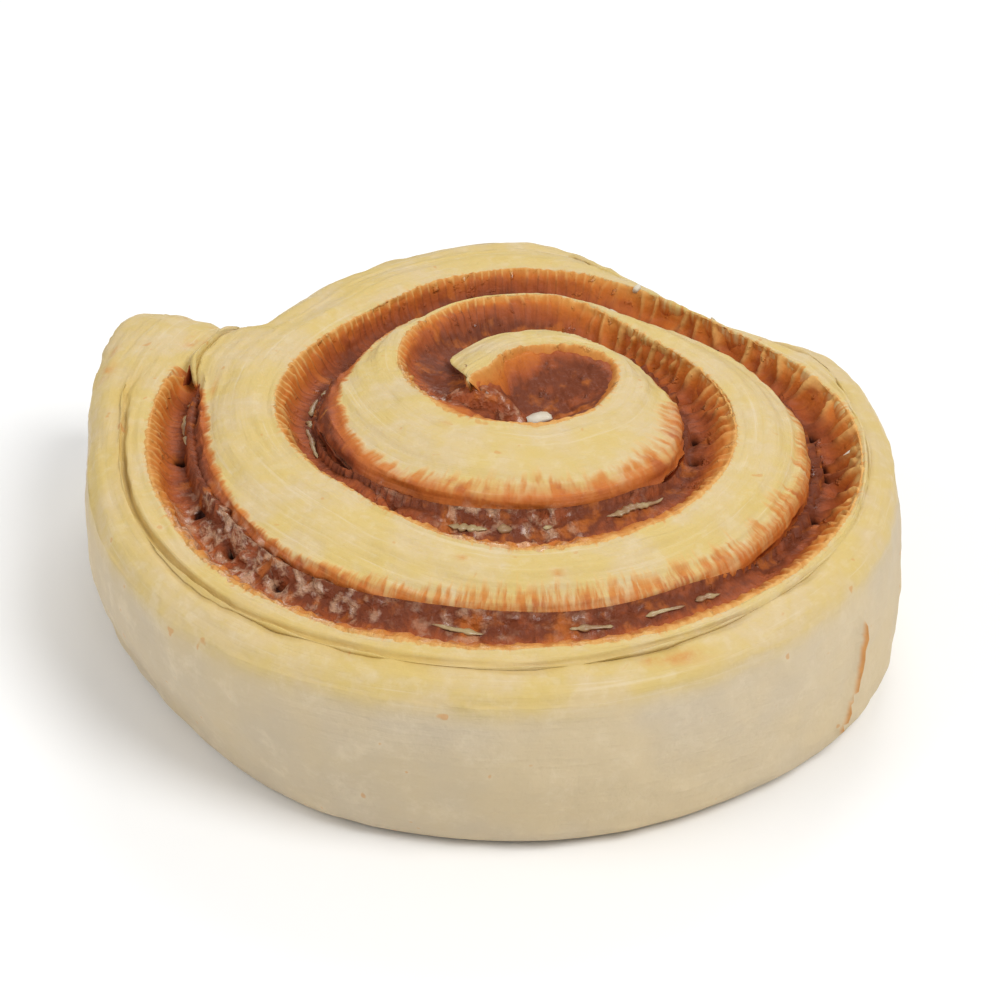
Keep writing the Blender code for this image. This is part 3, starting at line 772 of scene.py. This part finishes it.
def make_plug(relief, material):
    """The funnel of paste in the open centre."""
    sides, rings = PLUG_SIDES, PLUG_RINGS
    rows = []
    for turn in np.arange(sides) / sides:
        rim = plug_rim(turn)
        row = [(*in_space(turn, rim, PLUG_FOOT), turn)]
        for k in range(rings, 0, -1):
            radius = rim * k / rings
            height = funnel_height(turn, radius) - 0.4 * eased((k / rings - 0.9) / 0.1)
            row.append((*in_space(turn, radius, height), turn))
        rows.append(row)
    grid = np.array(rows)
    place, turn = grid[..., :3].copy(), grid[..., 3]
    x, y, z = np.moveaxis(place, 2, 0)
    rims = np.array([ridge_radius(0.85 * row_turn) for row_turn in turn[:, 0]])[:, None]
    inward = 1.0 - np.hypot(x - ROLL_CENTRE[0], y - ROLL_CENTRE[1]) / rims
    around = 2.0 * math.pi * turn
    folds = field(2.4 * np.cos(around), 2.4 * np.sin(around), 3.0) * eased(1.4 - 1.8 * inward)
    lift = relief.ribs * 1.5 * folds * np.sin(math.pi * np.clip(1.0 - inward, 0.0, 1.0))
    lift += 0.8 * paste_lumps(x, y)
    lift[:, 0] = 0.0
    place[..., 2] = z + lift
    points = place.reshape(-1, 3).tolist()
    middle = len(points)
    points.append((*ROLL_CENTRE, float(place[:, -1, 2].mean())))
    columns = rings + 1
    faces = []
    for a in range(sides):
        b = (a + 1) % sides
        for k in range(rings):
            faces.append([a * columns + k, a * columns + k + 1, b * columns + k + 1, b * columns + k])
        faces.append([a * columns + rings, middle, b * columns + rings])
    faces.append([a * columns for a in range(sides)][::-1])
    flat = np.zeros(len(points))
    layers = {name: flat for name in ("broad", "fine", "hole")}
    layers["wet"] = flat + 0.25
    layers["along"] = np.append((x + 0.3 * y).ravel(), ROLL_CENTRE[0])
    # painted shade: the pit's paste is coloured darker towards its middle and on its east side
    east = eased((x - ROLL_CENTRE[0] + 1.0) / 4.0)
    layers["depth"] = np.append((-2.4 - 9.0 * inward - 2.4 * east).ravel(), -11.0)
    layers["rib"] = flat
    return new_piece("paste_plug", points, faces, layers, material)


def ragged_oval(length, width, heading, sides, roughness, lobes, seed):
    """Offsets on the plan of an uneven oval's points, turned by this heading in radians."""
    points = []
    for k in range(sides):
        around = 2.0 * math.pi * k / sides
        place = Vector((lobes * math.cos(around), lobes * math.sin(around), seed))
        rough = 1.0 + roughness * noise.noise(place)
        u = 0.5 * length * rough * math.cos(around)
        v = 0.5 * width * rough * math.sin(around)
        points.append((
            u * math.cos(heading) - v * math.sin(heading),
            u * math.sin(heading) + v * math.cos(heading),
        ))
    return points


def make_heap(relief, material):
    """The lump of paste beside the tip's end, over the place where the coat and the plug meet."""
    sides, rings = HEAP_SIDES, HEAP_RINGS
    middle_x, middle_y = plan_point(*HEAP_PLACE)
    length, width, rise = HEAP_SIZE
    heading = math.radians(HEAP_HEADING)
    points = []
    for ring in range(rings + 1):
        share = 1.0 - ring / rings
        for east, north in ragged_oval(length * share, width * share, heading, sides, 0.25, 1.3, 4.0):
            x, y = middle_x + east, middle_y + north
            rough = 0.5 * noise.noise(Vector((x * 0.6, y * 0.6, 7.0)))
            rough += 0.25 * noise.noise(Vector((x * 1.6, y * 1.6, 9.0)))
            points.append((x, y, HEAP_TOP - rise * share**2 + relief.ribs * rough))
    faces = tube_faces(0, rings + 1, sides)
    faces.append(list(range(sides))[::-1])
    flat = np.zeros(len(points))
    layers = {"along": np.array(points)[:, 0], "depth": flat - 5.2, "wet": flat + 0.65}
    layers.update({name: flat for name in ("rib", "broad", "fine", "hole")})
    return new_piece("paste_heap", points, faces, layers, material)


# Small bits on the paste
def top_of(pieces, x, y):
    """Height of the uppermost surface of these pieces over a place on the plan, in millimetres."""
    above, down = Vector((x * MM, y * MM, 0.1)), Vector((0.0, 0.0, -1.0))
    hits = [piece.ray_cast(above, down) for piece in pieces]
    return max(hit[1].z for hit in hits if hit[0]) / MM


def ground_slope(pieces, x, y, reach):
    """How steeply the surface rises to the east and to the north, no more than one in one."""
    east = (top_of(pieces, x + reach, y) - top_of(pieces, x - reach, y)) / (2.0 * reach)
    north = (top_of(pieces, x, y + reach) - top_of(pieces, x, y - reach)) / (2.0 * reach)
    return clamp(east, -1.0, 1.0), clamp(north, -1.0, 1.0)


def make_chips(laid_on, material):
    """Thin uneven flakes, each lying on the paste."""
    points, faces = [], []
    sides = CHIP_SIDES
    for number, (turn, out, length, width, heading) in enumerate(WHITE_CHIPS):
        x, y = plan_point(turn, out)
        ground = top_of(laid_on, x, y)
        slope_east, slope_north = ground_slope(laid_on, x, y, 0.3 * length)
        angle = math.radians(heading)
        start = len(points)
        for scale, rise in CHIP_RINGS:
            oval = ragged_oval(length * scale, width * scale, angle, sides, 0.45, 1.5, number * 3.0)
            for east, north in oval:
                height = ground + rise + slope_east * east + slope_north * north
                points.append((x + east, y + north, height))
        faces += tube_faces(start, len(CHIP_RINGS), sides)
        faces.append([start + k for k in range(sides)][::-1])
        faces.append([len(points) - sides + k for k in range(sides)])
    return new_piece("white_chips", points, faces, {}, material)


def make_fat_streaks(laid_on, material):
    """Soft strings of fat that follow the crevice, lying on the paste."""
    points, faces = [], []
    sides = FAT_SIDES
    for number, (first, last, offset, width) in enumerate(FAT_STREAKS):
        turns = even_turns(first, last, FAT_STEP)
        start = len(points)
        wander = [0.3 * noise.noise(Vector((turn * 60.0, number, 0.0))) for turn in turns]
        radii = [crevice_radius(turn) + offset - 0.3 + off for turn, off in zip(turns, wander)]
        ground = [top_of(laid_on, *plan_point(turn, out)) for turn, out in zip(turns, radii)]
        level = np.convolve(np.pad(ground, 3, mode="edge"), np.ones(7) / 7.0, mode="valid")
        for k, turn in enumerate(turns):
            share = k / (len(turns) - 1)
            body = math.sqrt(max(1.0 - (2.0 * share - 1.0) ** 2, 0.0))
            uneven = 0.5 + 1.6 * abs(noise.noise(Vector((turn * 160.0, number, 5.0))))
            half = 0.5 * width * body * uneven + 0.02
            for side in range(sides):
                around = 2.0 * math.pi * side / sides
                height = level[k] + 0.1 + 0.5 * half * math.sin(around)
                points.append(in_space(turn, radii[k] + half * math.cos(around), height))
        faces += tube_faces(start, len(turns), sides, turned=True)
        faces.append([start + side for side in range(sides)])
        faces.append([len(points) - sides + side for side in range(sides)][::-1])
    return new_piece("fat_streaks", points, faces, {}, material)


# Materials
def put(tree, kind, *values, out=0, **settings):
    """Adds a node, sets its first inputs from values or other outputs, and returns one of its own."""
    made = tree.nodes.new(kind)
    for name, value in settings.items():
        setattr(made, name, value)
    for socket, value in zip(made.inputs, values):
        if isinstance(value, bpy.types.NodeSocket):
            tree.links.new(value, socket)
        elif value is not None:
            socket.default_value = value
    return made.outputs[out]


def times(tree, first, second):
    return put(tree, "ShaderNodeMath", first, second, operation="MULTIPLY")


def plus(tree, first, second):
    return put(tree, "ShaderNodeMath", first, second, operation="ADD")


def minus(tree, first, second, clamped=False):
    return put(tree, "ShaderNodeMath", first, second, operation="SUBTRACT", use_clamp=clamped)


def larger(tree, first, second):
    return put(tree, "ShaderNodeMath", first, second, operation="MAXIMUM")


def layer(tree, name):
    """The value that a piece's points carry under this name."""
    return put(tree, "ShaderNodeAttribute", out="Fac", attribute_name=name)


def band(tree, value, low, high, to_low=0.0, to_high=1.0):
    """Value mapped smoothly from low..high to to_low..to_high, and held beyond them."""
    ends = (low, high, to_low, to_high)
    return put(tree, "ShaderNodeMapRange", value, *ends, interpolation_type="SMOOTHSTEP")


def blend_colour(tree, share, first, second):
    """The first colour where share is 0, the second where it is 1."""
    made = tree.nodes.new("ShaderNodeMix")
    made.data_type = "RGBA"
    for socket, value in zip((made.inputs[0], made.inputs[6], made.inputs[7]), (share, first, second)):
        if isinstance(value, bpy.types.NodeSocket):
            tree.links.new(value, socket)
        else:
            socket.default_value = value
    return made.outputs[2]


def grain(tree, vector, scale, detail=3.0, roughness=0.55):
    return put(tree, "ShaderNodeTexNoise", vector, None, scale, detail, roughness, noise_dimensions="3D")


def vector_of(tree, *parts):
    return put(tree, "ShaderNodeCombineXYZ", *parts)


def rgb(colour):
    return (*colour, 1.0)


def ramp(tree, share, *stops):
    made = tree.nodes.new("ShaderNodeValToRGB")
    tree.links.new(share, made.inputs[0])
    elements = made.color_ramp.elements
    while len(elements) < len(stops):
        elements.new(0.5)
    for element, (position, colour) in zip(elements, stops):
        element.position, element.color = position, colour
    return made.outputs[0]


def new_group(name, takes, gives):
    """A shader node group, what it takes and what it gives. A default of None stands for a vector."""
    group = bpy.data.node_groups.new(name, "ShaderNodeTree")
    for socket_name, default in takes:
        kind = "NodeSocketVector" if default is None else "NodeSocketFloat"
        socket = group.interface.new_socket(socket_name, in_out="INPUT", socket_type=kind)
        if default is not None:
            socket.default_value = default
    for socket_name in gives:
        kind = "NodeSocketColor" if socket_name == "colour" else "NodeSocketFloat"
        group.interface.new_socket(socket_name, in_out="OUTPUT", socket_type=kind)
    return group, group.nodes.new("NodeGroupInput").outputs, group.nodes.new("NodeGroupOutput").inputs


def place_group(tree, group, **values):
    """Adds a group with these values at its inputs, and returns its outputs."""
    made = tree.nodes.new("ShaderNodeGroup")
    made.node_tree = group
    for name, value in values.items():
        socket = made.inputs[name]
        if isinstance(value, bpy.types.NodeSocket):
            tree.links.new(value, socket)
        else:
            socket.default_value = value
    return made.outputs


def fringe_group():
    """Pale and brown streaks that run across the strip, where paste has crept into the dough."""
    takes = (("along", 0.0), ("across", 0.0), ("fineness", 1.0))
    group, taken, given = new_group("Fringe", takes, ("streaks", "ragged"))
    along = times(group, taken["along"], taken["fineness"])
    fine_place = vector_of(group, times(group, along, 1.6), times(group, taken["across"], 0.22), 0.0)
    fine = grain(group, fine_place, 1.0, 2.0)
    coarse_place = vector_of(group, times(group, along, 0.45), times(group, taken["across"], 0.12), 4.0)
    coarse = grain(group, coarse_place, 1.0, 2.0)
    group.links.new(band(group, fine, 0.36, 0.64), given["streaks"])
    both = plus(group, times(group, fine, 0.6), times(group, coarse, 0.9))
    group.links.new(minus(group, both, 0.75), given["ragged"])
    return group


def relief_group():
    """Fine pores and wrinkles of soft dough or paste, as a height, and wide patches."""
    group, taken, given = new_group("Soft relief", (("place", None), ("scale", 1.0)), ("height", "patches"))
    scaled = put(group, "ShaderNodeVectorMath", taken["place"], operation="SCALE")
    group.links.new(taken["scale"], scaled.node.inputs["Scale"])
    fine = grain(group, scaled, 900.0, 4.0, 0.6)
    wide = grain(group, scaled, 160.0, 3.0, 0.5)
    group.links.new(plus(group, times(group, fine, 0.5), wide), given["height"])
    group.links.new(wide, given["patches"])
    return group


def paste_group(colours):
    """Colour and gloss of the paste by how deep in from its ragged edge it lies, in millimetres below 0;
    darkest partly as painted shade, lighter where wet as painted sheen.
    """
    takes = (("place", None), ("depth", -3.0), ("wet", 0.0))
    group, taken, given = new_group("Paste", takes, ("colour", "gloss"))
    share = put(group, "ShaderNodeMapRange", taken["depth"], -6.0, 0.4, 0.0, 1.0)
    # thin paste at the edge is pale and thick paste brown; the darkest stop is partly painted shade deep in
    # the crevice
    colour = ramp(
        group,
        share,
        (0.0, rgb(colours.dark_paste_and_shade)),
        (0.22, rgb(colours.paste_brown)),
        (0.55, rgb(colours.paste_orange)),
        (0.85, rgb(colours.stain_orange)),
        (1.0, rgb(colours.stain_pale)),
    )
    clouds = grain(group, taken["place"], 300.0, 3.0)
    inside = band(group, taken["depth"], 0.0, -2.0, 0.0, 0.6)
    darker = times(group, inside, band(group, clouds, 0.52, 0.68))
    colour = blend_colour(group, darker, colour, rgb(colours.paste_brown))
    lighter = times(group, inside, band(group, clouds, 0.48, 0.32))
    colour = blend_colour(group, lighter, colour, rgb(colours.paste_orange))
    drops = grain(group, taken["place"], 620.0, 3.0)
    sheen = times(group, taken["wet"], band(group, drops, 0.32, 0.72))
    # painted sheen: wet places are lightened towards a greyish colour in place of their glints
    colour = blend_colour(group, band(group, sheen, 0.2, 0.9, 0.0, 0.6), colour, rgb(colours.painted_wet_sheen))
    group.links.new(colour, given["colour"])
    gloss = larger(group, sheen, band(group, drops, 0.6, 0.75, 0.0, 0.7))
    group.links.new(gloss, given["gloss"])
    return group


def new_material(name):
    material = bpy.data.materials.new(name)
    material.use_nodes = True
    tree = material.node_tree
    tree.nodes.clear()
    shader = tree.nodes.new("ShaderNodeBsdfPrincipled")
    output = tree.nodes.new("ShaderNodeOutputMaterial")
    tree.links.new(shader.outputs[0], output.inputs["Surface"])
    return material, tree, shader


def add_relief(tree, shader, height, strength, distance):
    """Gives the shader a fine relief of this height."""
    bump = put(tree, "ShaderNodeBump", strength, distance)
    tree.links.new(height, bump.node.inputs["Height"])
    tree.links.new(bump, shader.inputs["Normal"])


def dough_material(colours, groups):
    material, tree, shader = new_material("raw_dough")
    place = put(tree, "ShaderNodeTexCoord", out="Object")
    along, from_ridge, depth = (layer(tree, name) for name in ("along", "from_ridge", "depth"))
    yellow, flour = rgb(colours.dough_yellow), rgb(colours.flour)
    # the cut face: yellow and floury mottling, drawn out along the strip
    soft = place_group(tree, groups["relief"], place=place, scale=1.0)
    fibre_place = vector_of(tree, times(tree, along, 0.05), times(tree, from_ridge, 1.1), 2.0)
    fibres = grain(tree, fibre_place, 1.0, 4.0, 0.65)
    mottle = grain(tree, place, 560.0, 3.0, 0.6)
    colour = blend_colour(tree, band(tree, soft["patches"], 0.35, 0.65), rgb(colours.dough), yellow)
    colour = blend_colour(tree, band(tree, fibres, 0.52, 0.75, 0.0, 0.6), colour, yellow)
    colour = blend_colour(tree, band(tree, mottle, 0.5, 0.7, 0.0, 0.5), colour, yellow)
    colour = blend_colour(tree, band(tree, mottle, 0.5, 0.3, 0.0, 0.2), colour, flour)
    colour = blend_colour(tree, band(tree, fibres, 0.30, 0.44, 0.35, 0.0), colour, flour)
    # the bun's side: greyer, dusted with flour
    side = layer(tree, "side")
    dust = grain(tree, place, 260.0, 5.0, 0.7)
    patches = band(tree, grain(tree, place, 60.0, 3.0, 0.5), 0.35, 0.65)
    side_colour = blend_colour(tree, patches, rgb(colours.side), rgb(colours.side_yellow))
    side_colour = blend_colour(tree, band(tree, dust, 0.45, 0.8, 0.0, 0.18), side_colour, flour)
    colour = blend_colour(tree, side, colour, side_colour)
    rim = times(tree, band(tree, dust, 0.5, 0.7), layer(tree, "floury"))
    colour = blend_colour(tree, times(tree, rim, 0.3), colour, flour)
    colour = blend_colour(tree, times(tree, layer(tree, "groove"), 0.7), colour, rgb(colours.fold))
    # paste that covers the shoulders and has soaked into the edges; low in the crevice its darkest colour is
    # painted shade
    fringe = place_group(tree, groups["fringe"], along=along, across=from_ridge, fineness=1.0)
    ragged_depth = plus(tree, depth, times(tree, fringe["ragged"], 2.4))
    paste = place_group(tree, groups["paste"], place=place, depth=ragged_depth, wet=layer(tree, "wet"))
    stain = band(tree, ragged_depth, 1.2, -1.2)
    pale_lines = times(tree, fringe["streaks"], band(tree, ragged_depth, -3.2, -0.6, 0.0, 0.75))
    stain = minus(tree, stain, pale_lines, clamped=True)
    colour = blend_colour(tree, stain, colour, paste["colour"])
    # the crack, the smears and a few specks
    crack = band(tree, layer(tree, "crack"), 0.25, 0.8, 0.0, 0.85)
    smear = times(tree, layer(tree, "smear"), band(tree, dust, 0.36, 0.6, 0.0, 0.85))
    specks = band(tree, grain(tree, place, 520.0, 1.0), 0.735, 0.78, 0.0, 0.5)
    soiled = larger(tree, larger(tree, crack, smear), specks)
    colour = blend_colour(tree, soiled, colour, rgb(colours.stain_orange))
    tree.links.new(colour, shader.inputs["Base Color"])
    wetness = times(tree, stain, paste["gloss"])
    roughness = plus(tree, band(tree, wetness, 0.0, 1.0, 0.55, 0.18), times(tree, side, 0.15))
    tree.links.new(roughness, shader.inputs["Roughness"])
    tree.links.new(band(tree, wetness, 0.2, 0.9, 0.0, 0.7), shader.inputs["Coat Weight"])
    shader.inputs["Coat Roughness"].default_value = 0.12
    shader.inputs["Specular IOR Level"].default_value = 0.25
    shader.inputs["Subsurface Weight"].default_value = 0.05
    shader.inputs["Subsurface Radius"].default_value = (1.0, 0.6, 0.3)
    shader.inputs["Subsurface Scale"].default_value = 0.002
    relief = plus(tree, times(tree, soft["height"], 0.6), times(tree, fibres, 0.6))
    relief = plus(tree, relief, times(tree, mottle, 0.8))
    relief = plus(tree, relief, times(tree, times(tree, fringe["streaks"], stain), 0.5))
    add_relief(tree, shader, relief, 0.6, 0.0004)
    return material


def paste_material(colours, groups):
    material, tree, shader = new_material("cinnamon_paste_moist")
    place = put(tree, "ShaderNodeTexCoord", out="Object")
    along, depth = layer(tree, "along"), layer(tree, "depth")
    soft = place_group(tree, groups["relief"], place=place, scale=1.3)
    fringe = place_group(tree, groups["fringe"], along=along, across=depth, fineness=1.0)
    ragged_depth = plus(tree, depth, times(tree, fringe["ragged"], 2.4))
    paste = place_group(tree, groups["paste"], place=place, depth=ragged_depth, wet=layer(tree, "wet"))
    # creases between the ribs: pale near the edge, where the dough shows through, and painted shade lower
    # down
    crease = put(tree, "ShaderNodeMath", layer(tree, "rib"), 0.5, operation="PINGPONG")
    ribbed = larger(tree, layer(tree, "broad"), layer(tree, "fine"))
    pale = times(tree, band(tree, crease, 0.2, 0.02), band(tree, ragged_depth, -4.2, -1.2))
    pale = times(tree, times(tree, pale, ribbed), 0.7)
    colour = blend_colour(tree, pale, paste["colour"], rgb(colours.stain_pale))
    crease_shade = times(tree, band(tree, crease, 0.16, 0.0), band(tree, ragged_depth, -2.0, -3.8))
    crease_shade = times(tree, times(tree, crease_shade, ribbed), 0.55)
    colour = blend_colour(tree, crease_shade, colour, rgb(colours.dark_paste_and_shade))
    # painted shade: the inside of the holes is coloured near black
    hole = band(tree, layer(tree, "hole"), 0.3, 1.1, 0.0, 0.9)
    colour = blend_colour(tree, hole, colour, rgb(colours.hole_painted_shade))
    tree.links.new(colour, shader.inputs["Base Color"])
    tree.links.new(band(tree, paste["gloss"], 0.0, 1.0, 0.5, 0.16), shader.inputs["Roughness"])
    tree.links.new(band(tree, paste["gloss"], 0.1, 0.9, 0.0, 0.8), shader.inputs["Coat Weight"])
    shader.inputs["Coat Roughness"].default_value = 0.12
    shader.inputs["Specular IOR Level"].default_value = 0.15
    relief = plus(tree, soft["height"], times(tree, fringe["ragged"], 0.6))
    drops = grain(tree, place, 1300.0, 2.0)
    relief = plus(tree, relief, times(tree, drops, times(tree, paste["gloss"], 2.5)))
    add_relief(tree, shader, relief, 0.7, 0.0005)
    return material


def bit_material(name, colour, deep_colour, roughness, groups):
    material, tree, shader = new_material(name)
    place = put(tree, "ShaderNodeTexCoord", out="Object")
    soft = place_group(tree, groups["relief"], place=place, scale=1.6)
    patches = band(tree, soft["patches"], 0.4, 0.6)
    tree.links.new(blend_colour(tree, patches, rgb(colour), rgb(deep_colour)), shader.inputs["Base Color"])
    uneven = band(tree, soft["height"], 0.4, 1.0, roughness, roughness + 0.2)
    tree.links.new(uneven, shader.inputs["Roughness"])
    add_relief(tree, shader, soft["height"], 0.4, 0.0002)
    return material


# Stage
def make_floor(stage):
    mesh = bpy.data.meshes.new("floor")
    reach = stage.floor_size / 2.0
    corners = [(-reach, -reach, 0), (reach, -reach, 0), (reach, reach, 0), (-reach, reach, 0)]
    mesh.from_pydata(corners, [], [(0, 1, 2, 3)])
    floor = bpy.data.objects.new("floor", mesh)
    bpy.context.scene.collection.objects.link(floor)
    material, tree, shader = new_material("pale_floor")
    faint = grain(tree, put(tree, "ShaderNodeTexCoord", out="Object"), 3.0, 2.0)
    darker = [0.985 * part for part in stage.floor_colour]
    colour = blend_colour(tree, faint, rgb(stage.floor_colour), rgb(darker))
    tree.links.new(colour, shader.inputs["Base Color"])
    shader.inputs["Roughness"].default_value = 0.75
    mesh.materials.append(material)


def make_lamps(stage):
    for name, place, share, size in LAMPS:
        light = bpy.data.lights.new(name, "AREA")
        light.shape, light.size, light.energy = "DISK", size, share * stage.lamp_power
        lamp = bpy.data.objects.new(name, light)
        lamp.location = place
        lamp.rotation_euler = (Vector(LAMPS_AIM) - Vector(place)).to_track_quat("-Z", "Y").to_euler()
        bpy.context.scene.collection.objects.link(lamp)
    world = bpy.data.worlds.new("soft_room")
    world.use_nodes = True
    background = world.node_tree.nodes["Background"]
    background.inputs["Color"].default_value = (1.0, 1.0, 1.0, 1.0)
    background.inputs["Strength"].default_value = stage.room_light
    bpy.context.scene.world = world


def make_camera():
    lens = bpy.data.cameras.new("camera")
    lens.sensor_width, lens.lens = SENSOR_WIDTH, LENS_LENGTH
    lens.shift_x, lens.shift_y = LENS_SHIFT
    camera = bpy.data.objects.new("camera", lens)
    aim = Vector(CAMERA_AIM) * MM
    pitch = math.radians(CAMERA_PITCH)
    camera.location = aim + Vector((0.0, -math.cos(pitch), math.sin(pitch))) * CAMERA_DISTANCE
    camera.rotation_euler = (aim - camera.location).to_track_quat("-Z", "Y").to_euler()
    bpy.context.scene.collection.objects.link(camera)
    bpy.context.scene.camera = camera


# Settings
def colour_setting(name, description, default):
    about = {"name": name, "description": description, "default": default}
    return bpy.props.FloatVectorProperty(**about, size=3, min=0.0, max=1.0, subtype="COLOR")


def strength_setting(name, description):
    about = {"name": name, "description": description, "default": 1.0}
    return bpy.props.FloatProperty(**about, min=0.0, max=2.0, subtype="FACTOR")


class BriocheRelief(bpy.types.PropertyGroup):
    lumps: strength_setting("Lumps", "Strength of the dough's slow unevenness")
    fibres: strength_setting("Fibres", "Strength of the fine lines that run along the strip")
    ribs: strength_setting("Ribs", "Height of the paste's ribs across the slope")


class BriocheColours(bpy.types.PropertyGroup):
    dough: colour_setting("Dough", "Cut dough", (0.615, 0.47, 0.245))
    dough_yellow: colour_setting("Yellow dough", "Butter-rich streaks in the dough", (0.615, 0.455, 0.16))
    fold: colour_setting("Fold", "Dough seen inside folds and the split", (0.60, 0.41, 0.115))
    flour: colour_setting("Flour", "Flour dusted on the dough", (0.72, 0.61, 0.43))
    side: colour_setting("Side", "The bun's outer side", (0.55, 0.455, 0.32))
    side_yellow: colour_setting("Yellow side", "Yellower patches of the side", (0.60, 0.48, 0.30))
    stain_pale: colour_setting("Pale stain", "Dough just tinged by paste", (0.72, 0.44, 0.15))
    stain_orange: colour_setting("Orange stain", "Dough soaked with paste", (0.58, 0.24, 0.05))
    paste_orange: colour_setting("Thin paste", "Paste in a thin layer", (0.53, 0.148, 0.022))
    paste_brown: colour_setting("Paste", "Paste in a thick layer", (0.355, 0.085, 0.024))
    # Partly paste colour, partly painted shade: the darkest stop, deep in crevices, creases and the pit
    dark_paste_and_shade: colour_setting("Dark paste", "Paste deep in the crevice", (0.17, 0.042, 0.016))
    # Painted shade: the near-black inside of the holes
    hole_painted_shade: colour_setting("Hole", "Small holes in the paste", (0.03, 0.008, 0.005))
    # Painted sheen: the greyish light of wet paste, in place of its glints
    painted_wet_sheen: colour_setting("Wet paste", "Wet paste with a greyish skin", (0.66, 0.42, 0.26))
    chip: colour_setting("Chip", "Cream chips", (0.78, 0.74, 0.62))
    chip_deep: colour_setting("Chip, deeper", "Deeper patches of the chips", (0.62, 0.55, 0.42))
    fat: colour_setting("Fat", "Half-melted fat", (0.42, 0.32, 0.16))
    fat_deep: colour_setting("Fat, deeper", "Deeper patches of the fat", (0.30, 0.17, 0.08))


class BriocheStage(bpy.types.PropertyGroup):
    floor_size: bpy.props.FloatProperty(
        name="Floor size", description="Side of the square floor", default=6.0, min=0.5, unit="LENGTH"
    )
    floor_colour: colour_setting("Floor", "Floor colour", (0.93, 0.93, 0.925))
    lamp_power: bpy.props.FloatProperty(
        name="Lamp power", description="Power of the main lamp", default=4.3, min=0.0, unit="POWER"
    )
    room_light: bpy.props.FloatProperty(
        name="Room light", description="Strength of the even light all round", default=0.45, min=0.0, max=3.0
    )


class BriocheSettings(bpy.types.PropertyGroup):
    relief: bpy.props.PointerProperty(type=BriocheRelief)
    colours: bpy.props.PointerProperty(type=BriocheColours)
    stage: bpy.props.PointerProperty(type=BriocheStage)


def groups():
    """The shader node groups that the materials share, each made once."""
    made = bpy.data.node_groups
    return {
        "fringe": made.get("Fringe") or fringe_group(),
        "relief": made.get("Soft relief") or relief_group(),
        "paste": made.get("Paste") or paste_group(bpy.context.scene.brioche.colours),
    }


class BRIOCHE_OT_dough(bpy.types.Operator):
    """Build the dough strip with its cut top, split and crack"""

    bl_idname = "brioche.dough"
    bl_label = "Dough strip"

    def execute(self, context):
        settings = context.scene.brioche
        make_dough(settings.relief, dough_material(settings.colours, groups()))
        return {"FINISHED"}


class BRIOCHE_OT_paste(bpy.types.Operator):
    """Build the cinnamon paste between the turns and in the open centre"""

    bl_idname = "brioche.paste"
    bl_label = "Cinnamon paste"

    def execute(self, context):
        settings = context.scene.brioche
        material = paste_material(settings.colours, groups())
        make_paste(settings.relief, material)
        make_plug(settings.relief, material)
        make_heap(settings.relief, material)
        return {"FINISHED"}


class BRIOCHE_OT_bits(bpy.types.Operator):
    """Add the white chips and the streaks of fat that lie on the paste"""

    bl_idname = "brioche.bits"
    bl_label = "Chips and fat"

    def execute(self, context):
        context.view_layer.update()
        colours = context.scene.brioche.colours
        laid_on = [bpy.data.objects[name] for name in ("dough_strip", "paste_layer", "paste_plug")]
        make_chips(laid_on, bit_material("white_chip", colours.chip, colours.chip_deep, 0.35, groups()))
        make_fat_streaks(laid_on, bit_material("soft_fat", colours.fat, colours.fat_deep, 0.2, groups()))
        return {"FINISHED"}


class BRIOCHE_OT_stage(bpy.types.Operator):
    """Set up the pale floor, the soft lamps and the camera"""

    bl_idname = "brioche.stage"
    bl_label = "Stage"

    def execute(self, context):
        settings = context.scene.brioche.stage
        make_floor(settings)
        make_lamps(settings)
        make_camera()
        context.scene.view_settings.view_transform = "Standard"
        return {"FINISHED"}


class BRIOCHE_PT_panel(bpy.types.Panel):
    """The roll's steps and settings"""

    bl_label = "Cinnamon brioche"
    bl_idname = "BRIOCHE_PT_panel"
    bl_space_type = "VIEW_3D"
    bl_region_type = "UI"
    bl_category = "Brioche"

    def draw(self, context):
        for operator in STEPS:
            self.layout.operator(operator.bl_idname)
        settings = context.scene.brioche
        for part in (settings.relief, settings.colours, settings.stage):
            for name in part.bl_rna.properties.keys():
                if name not in ("rna_type", "name"):
                    self.layout.prop(part, name)


STEPS = (BRIOCHE_OT_stage, BRIOCHE_OT_dough, BRIOCHE_OT_paste, BRIOCHE_OT_bits)
CLASSES = (BriocheRelief, BriocheColours, BriocheStage, BriocheSettings, *STEPS, BRIOCHE_PT_panel)


def register():
    for kind in CLASSES:
        bpy.utils.register_class(kind)
    bpy.types.Scene.brioche = bpy.props.PointerProperty(type=BriocheSettings)


def unregister():
    del bpy.types.Scene.brioche
    for kind in reversed(CLASSES):
        bpy.utils.unregister_class(kind)


def main():
    register()
    for step in STEPS:
        group, name = step.bl_idname.split(".")
        getattr(getattr(bpy.ops, group), name)()


if __name__ == "__main__":
    main()
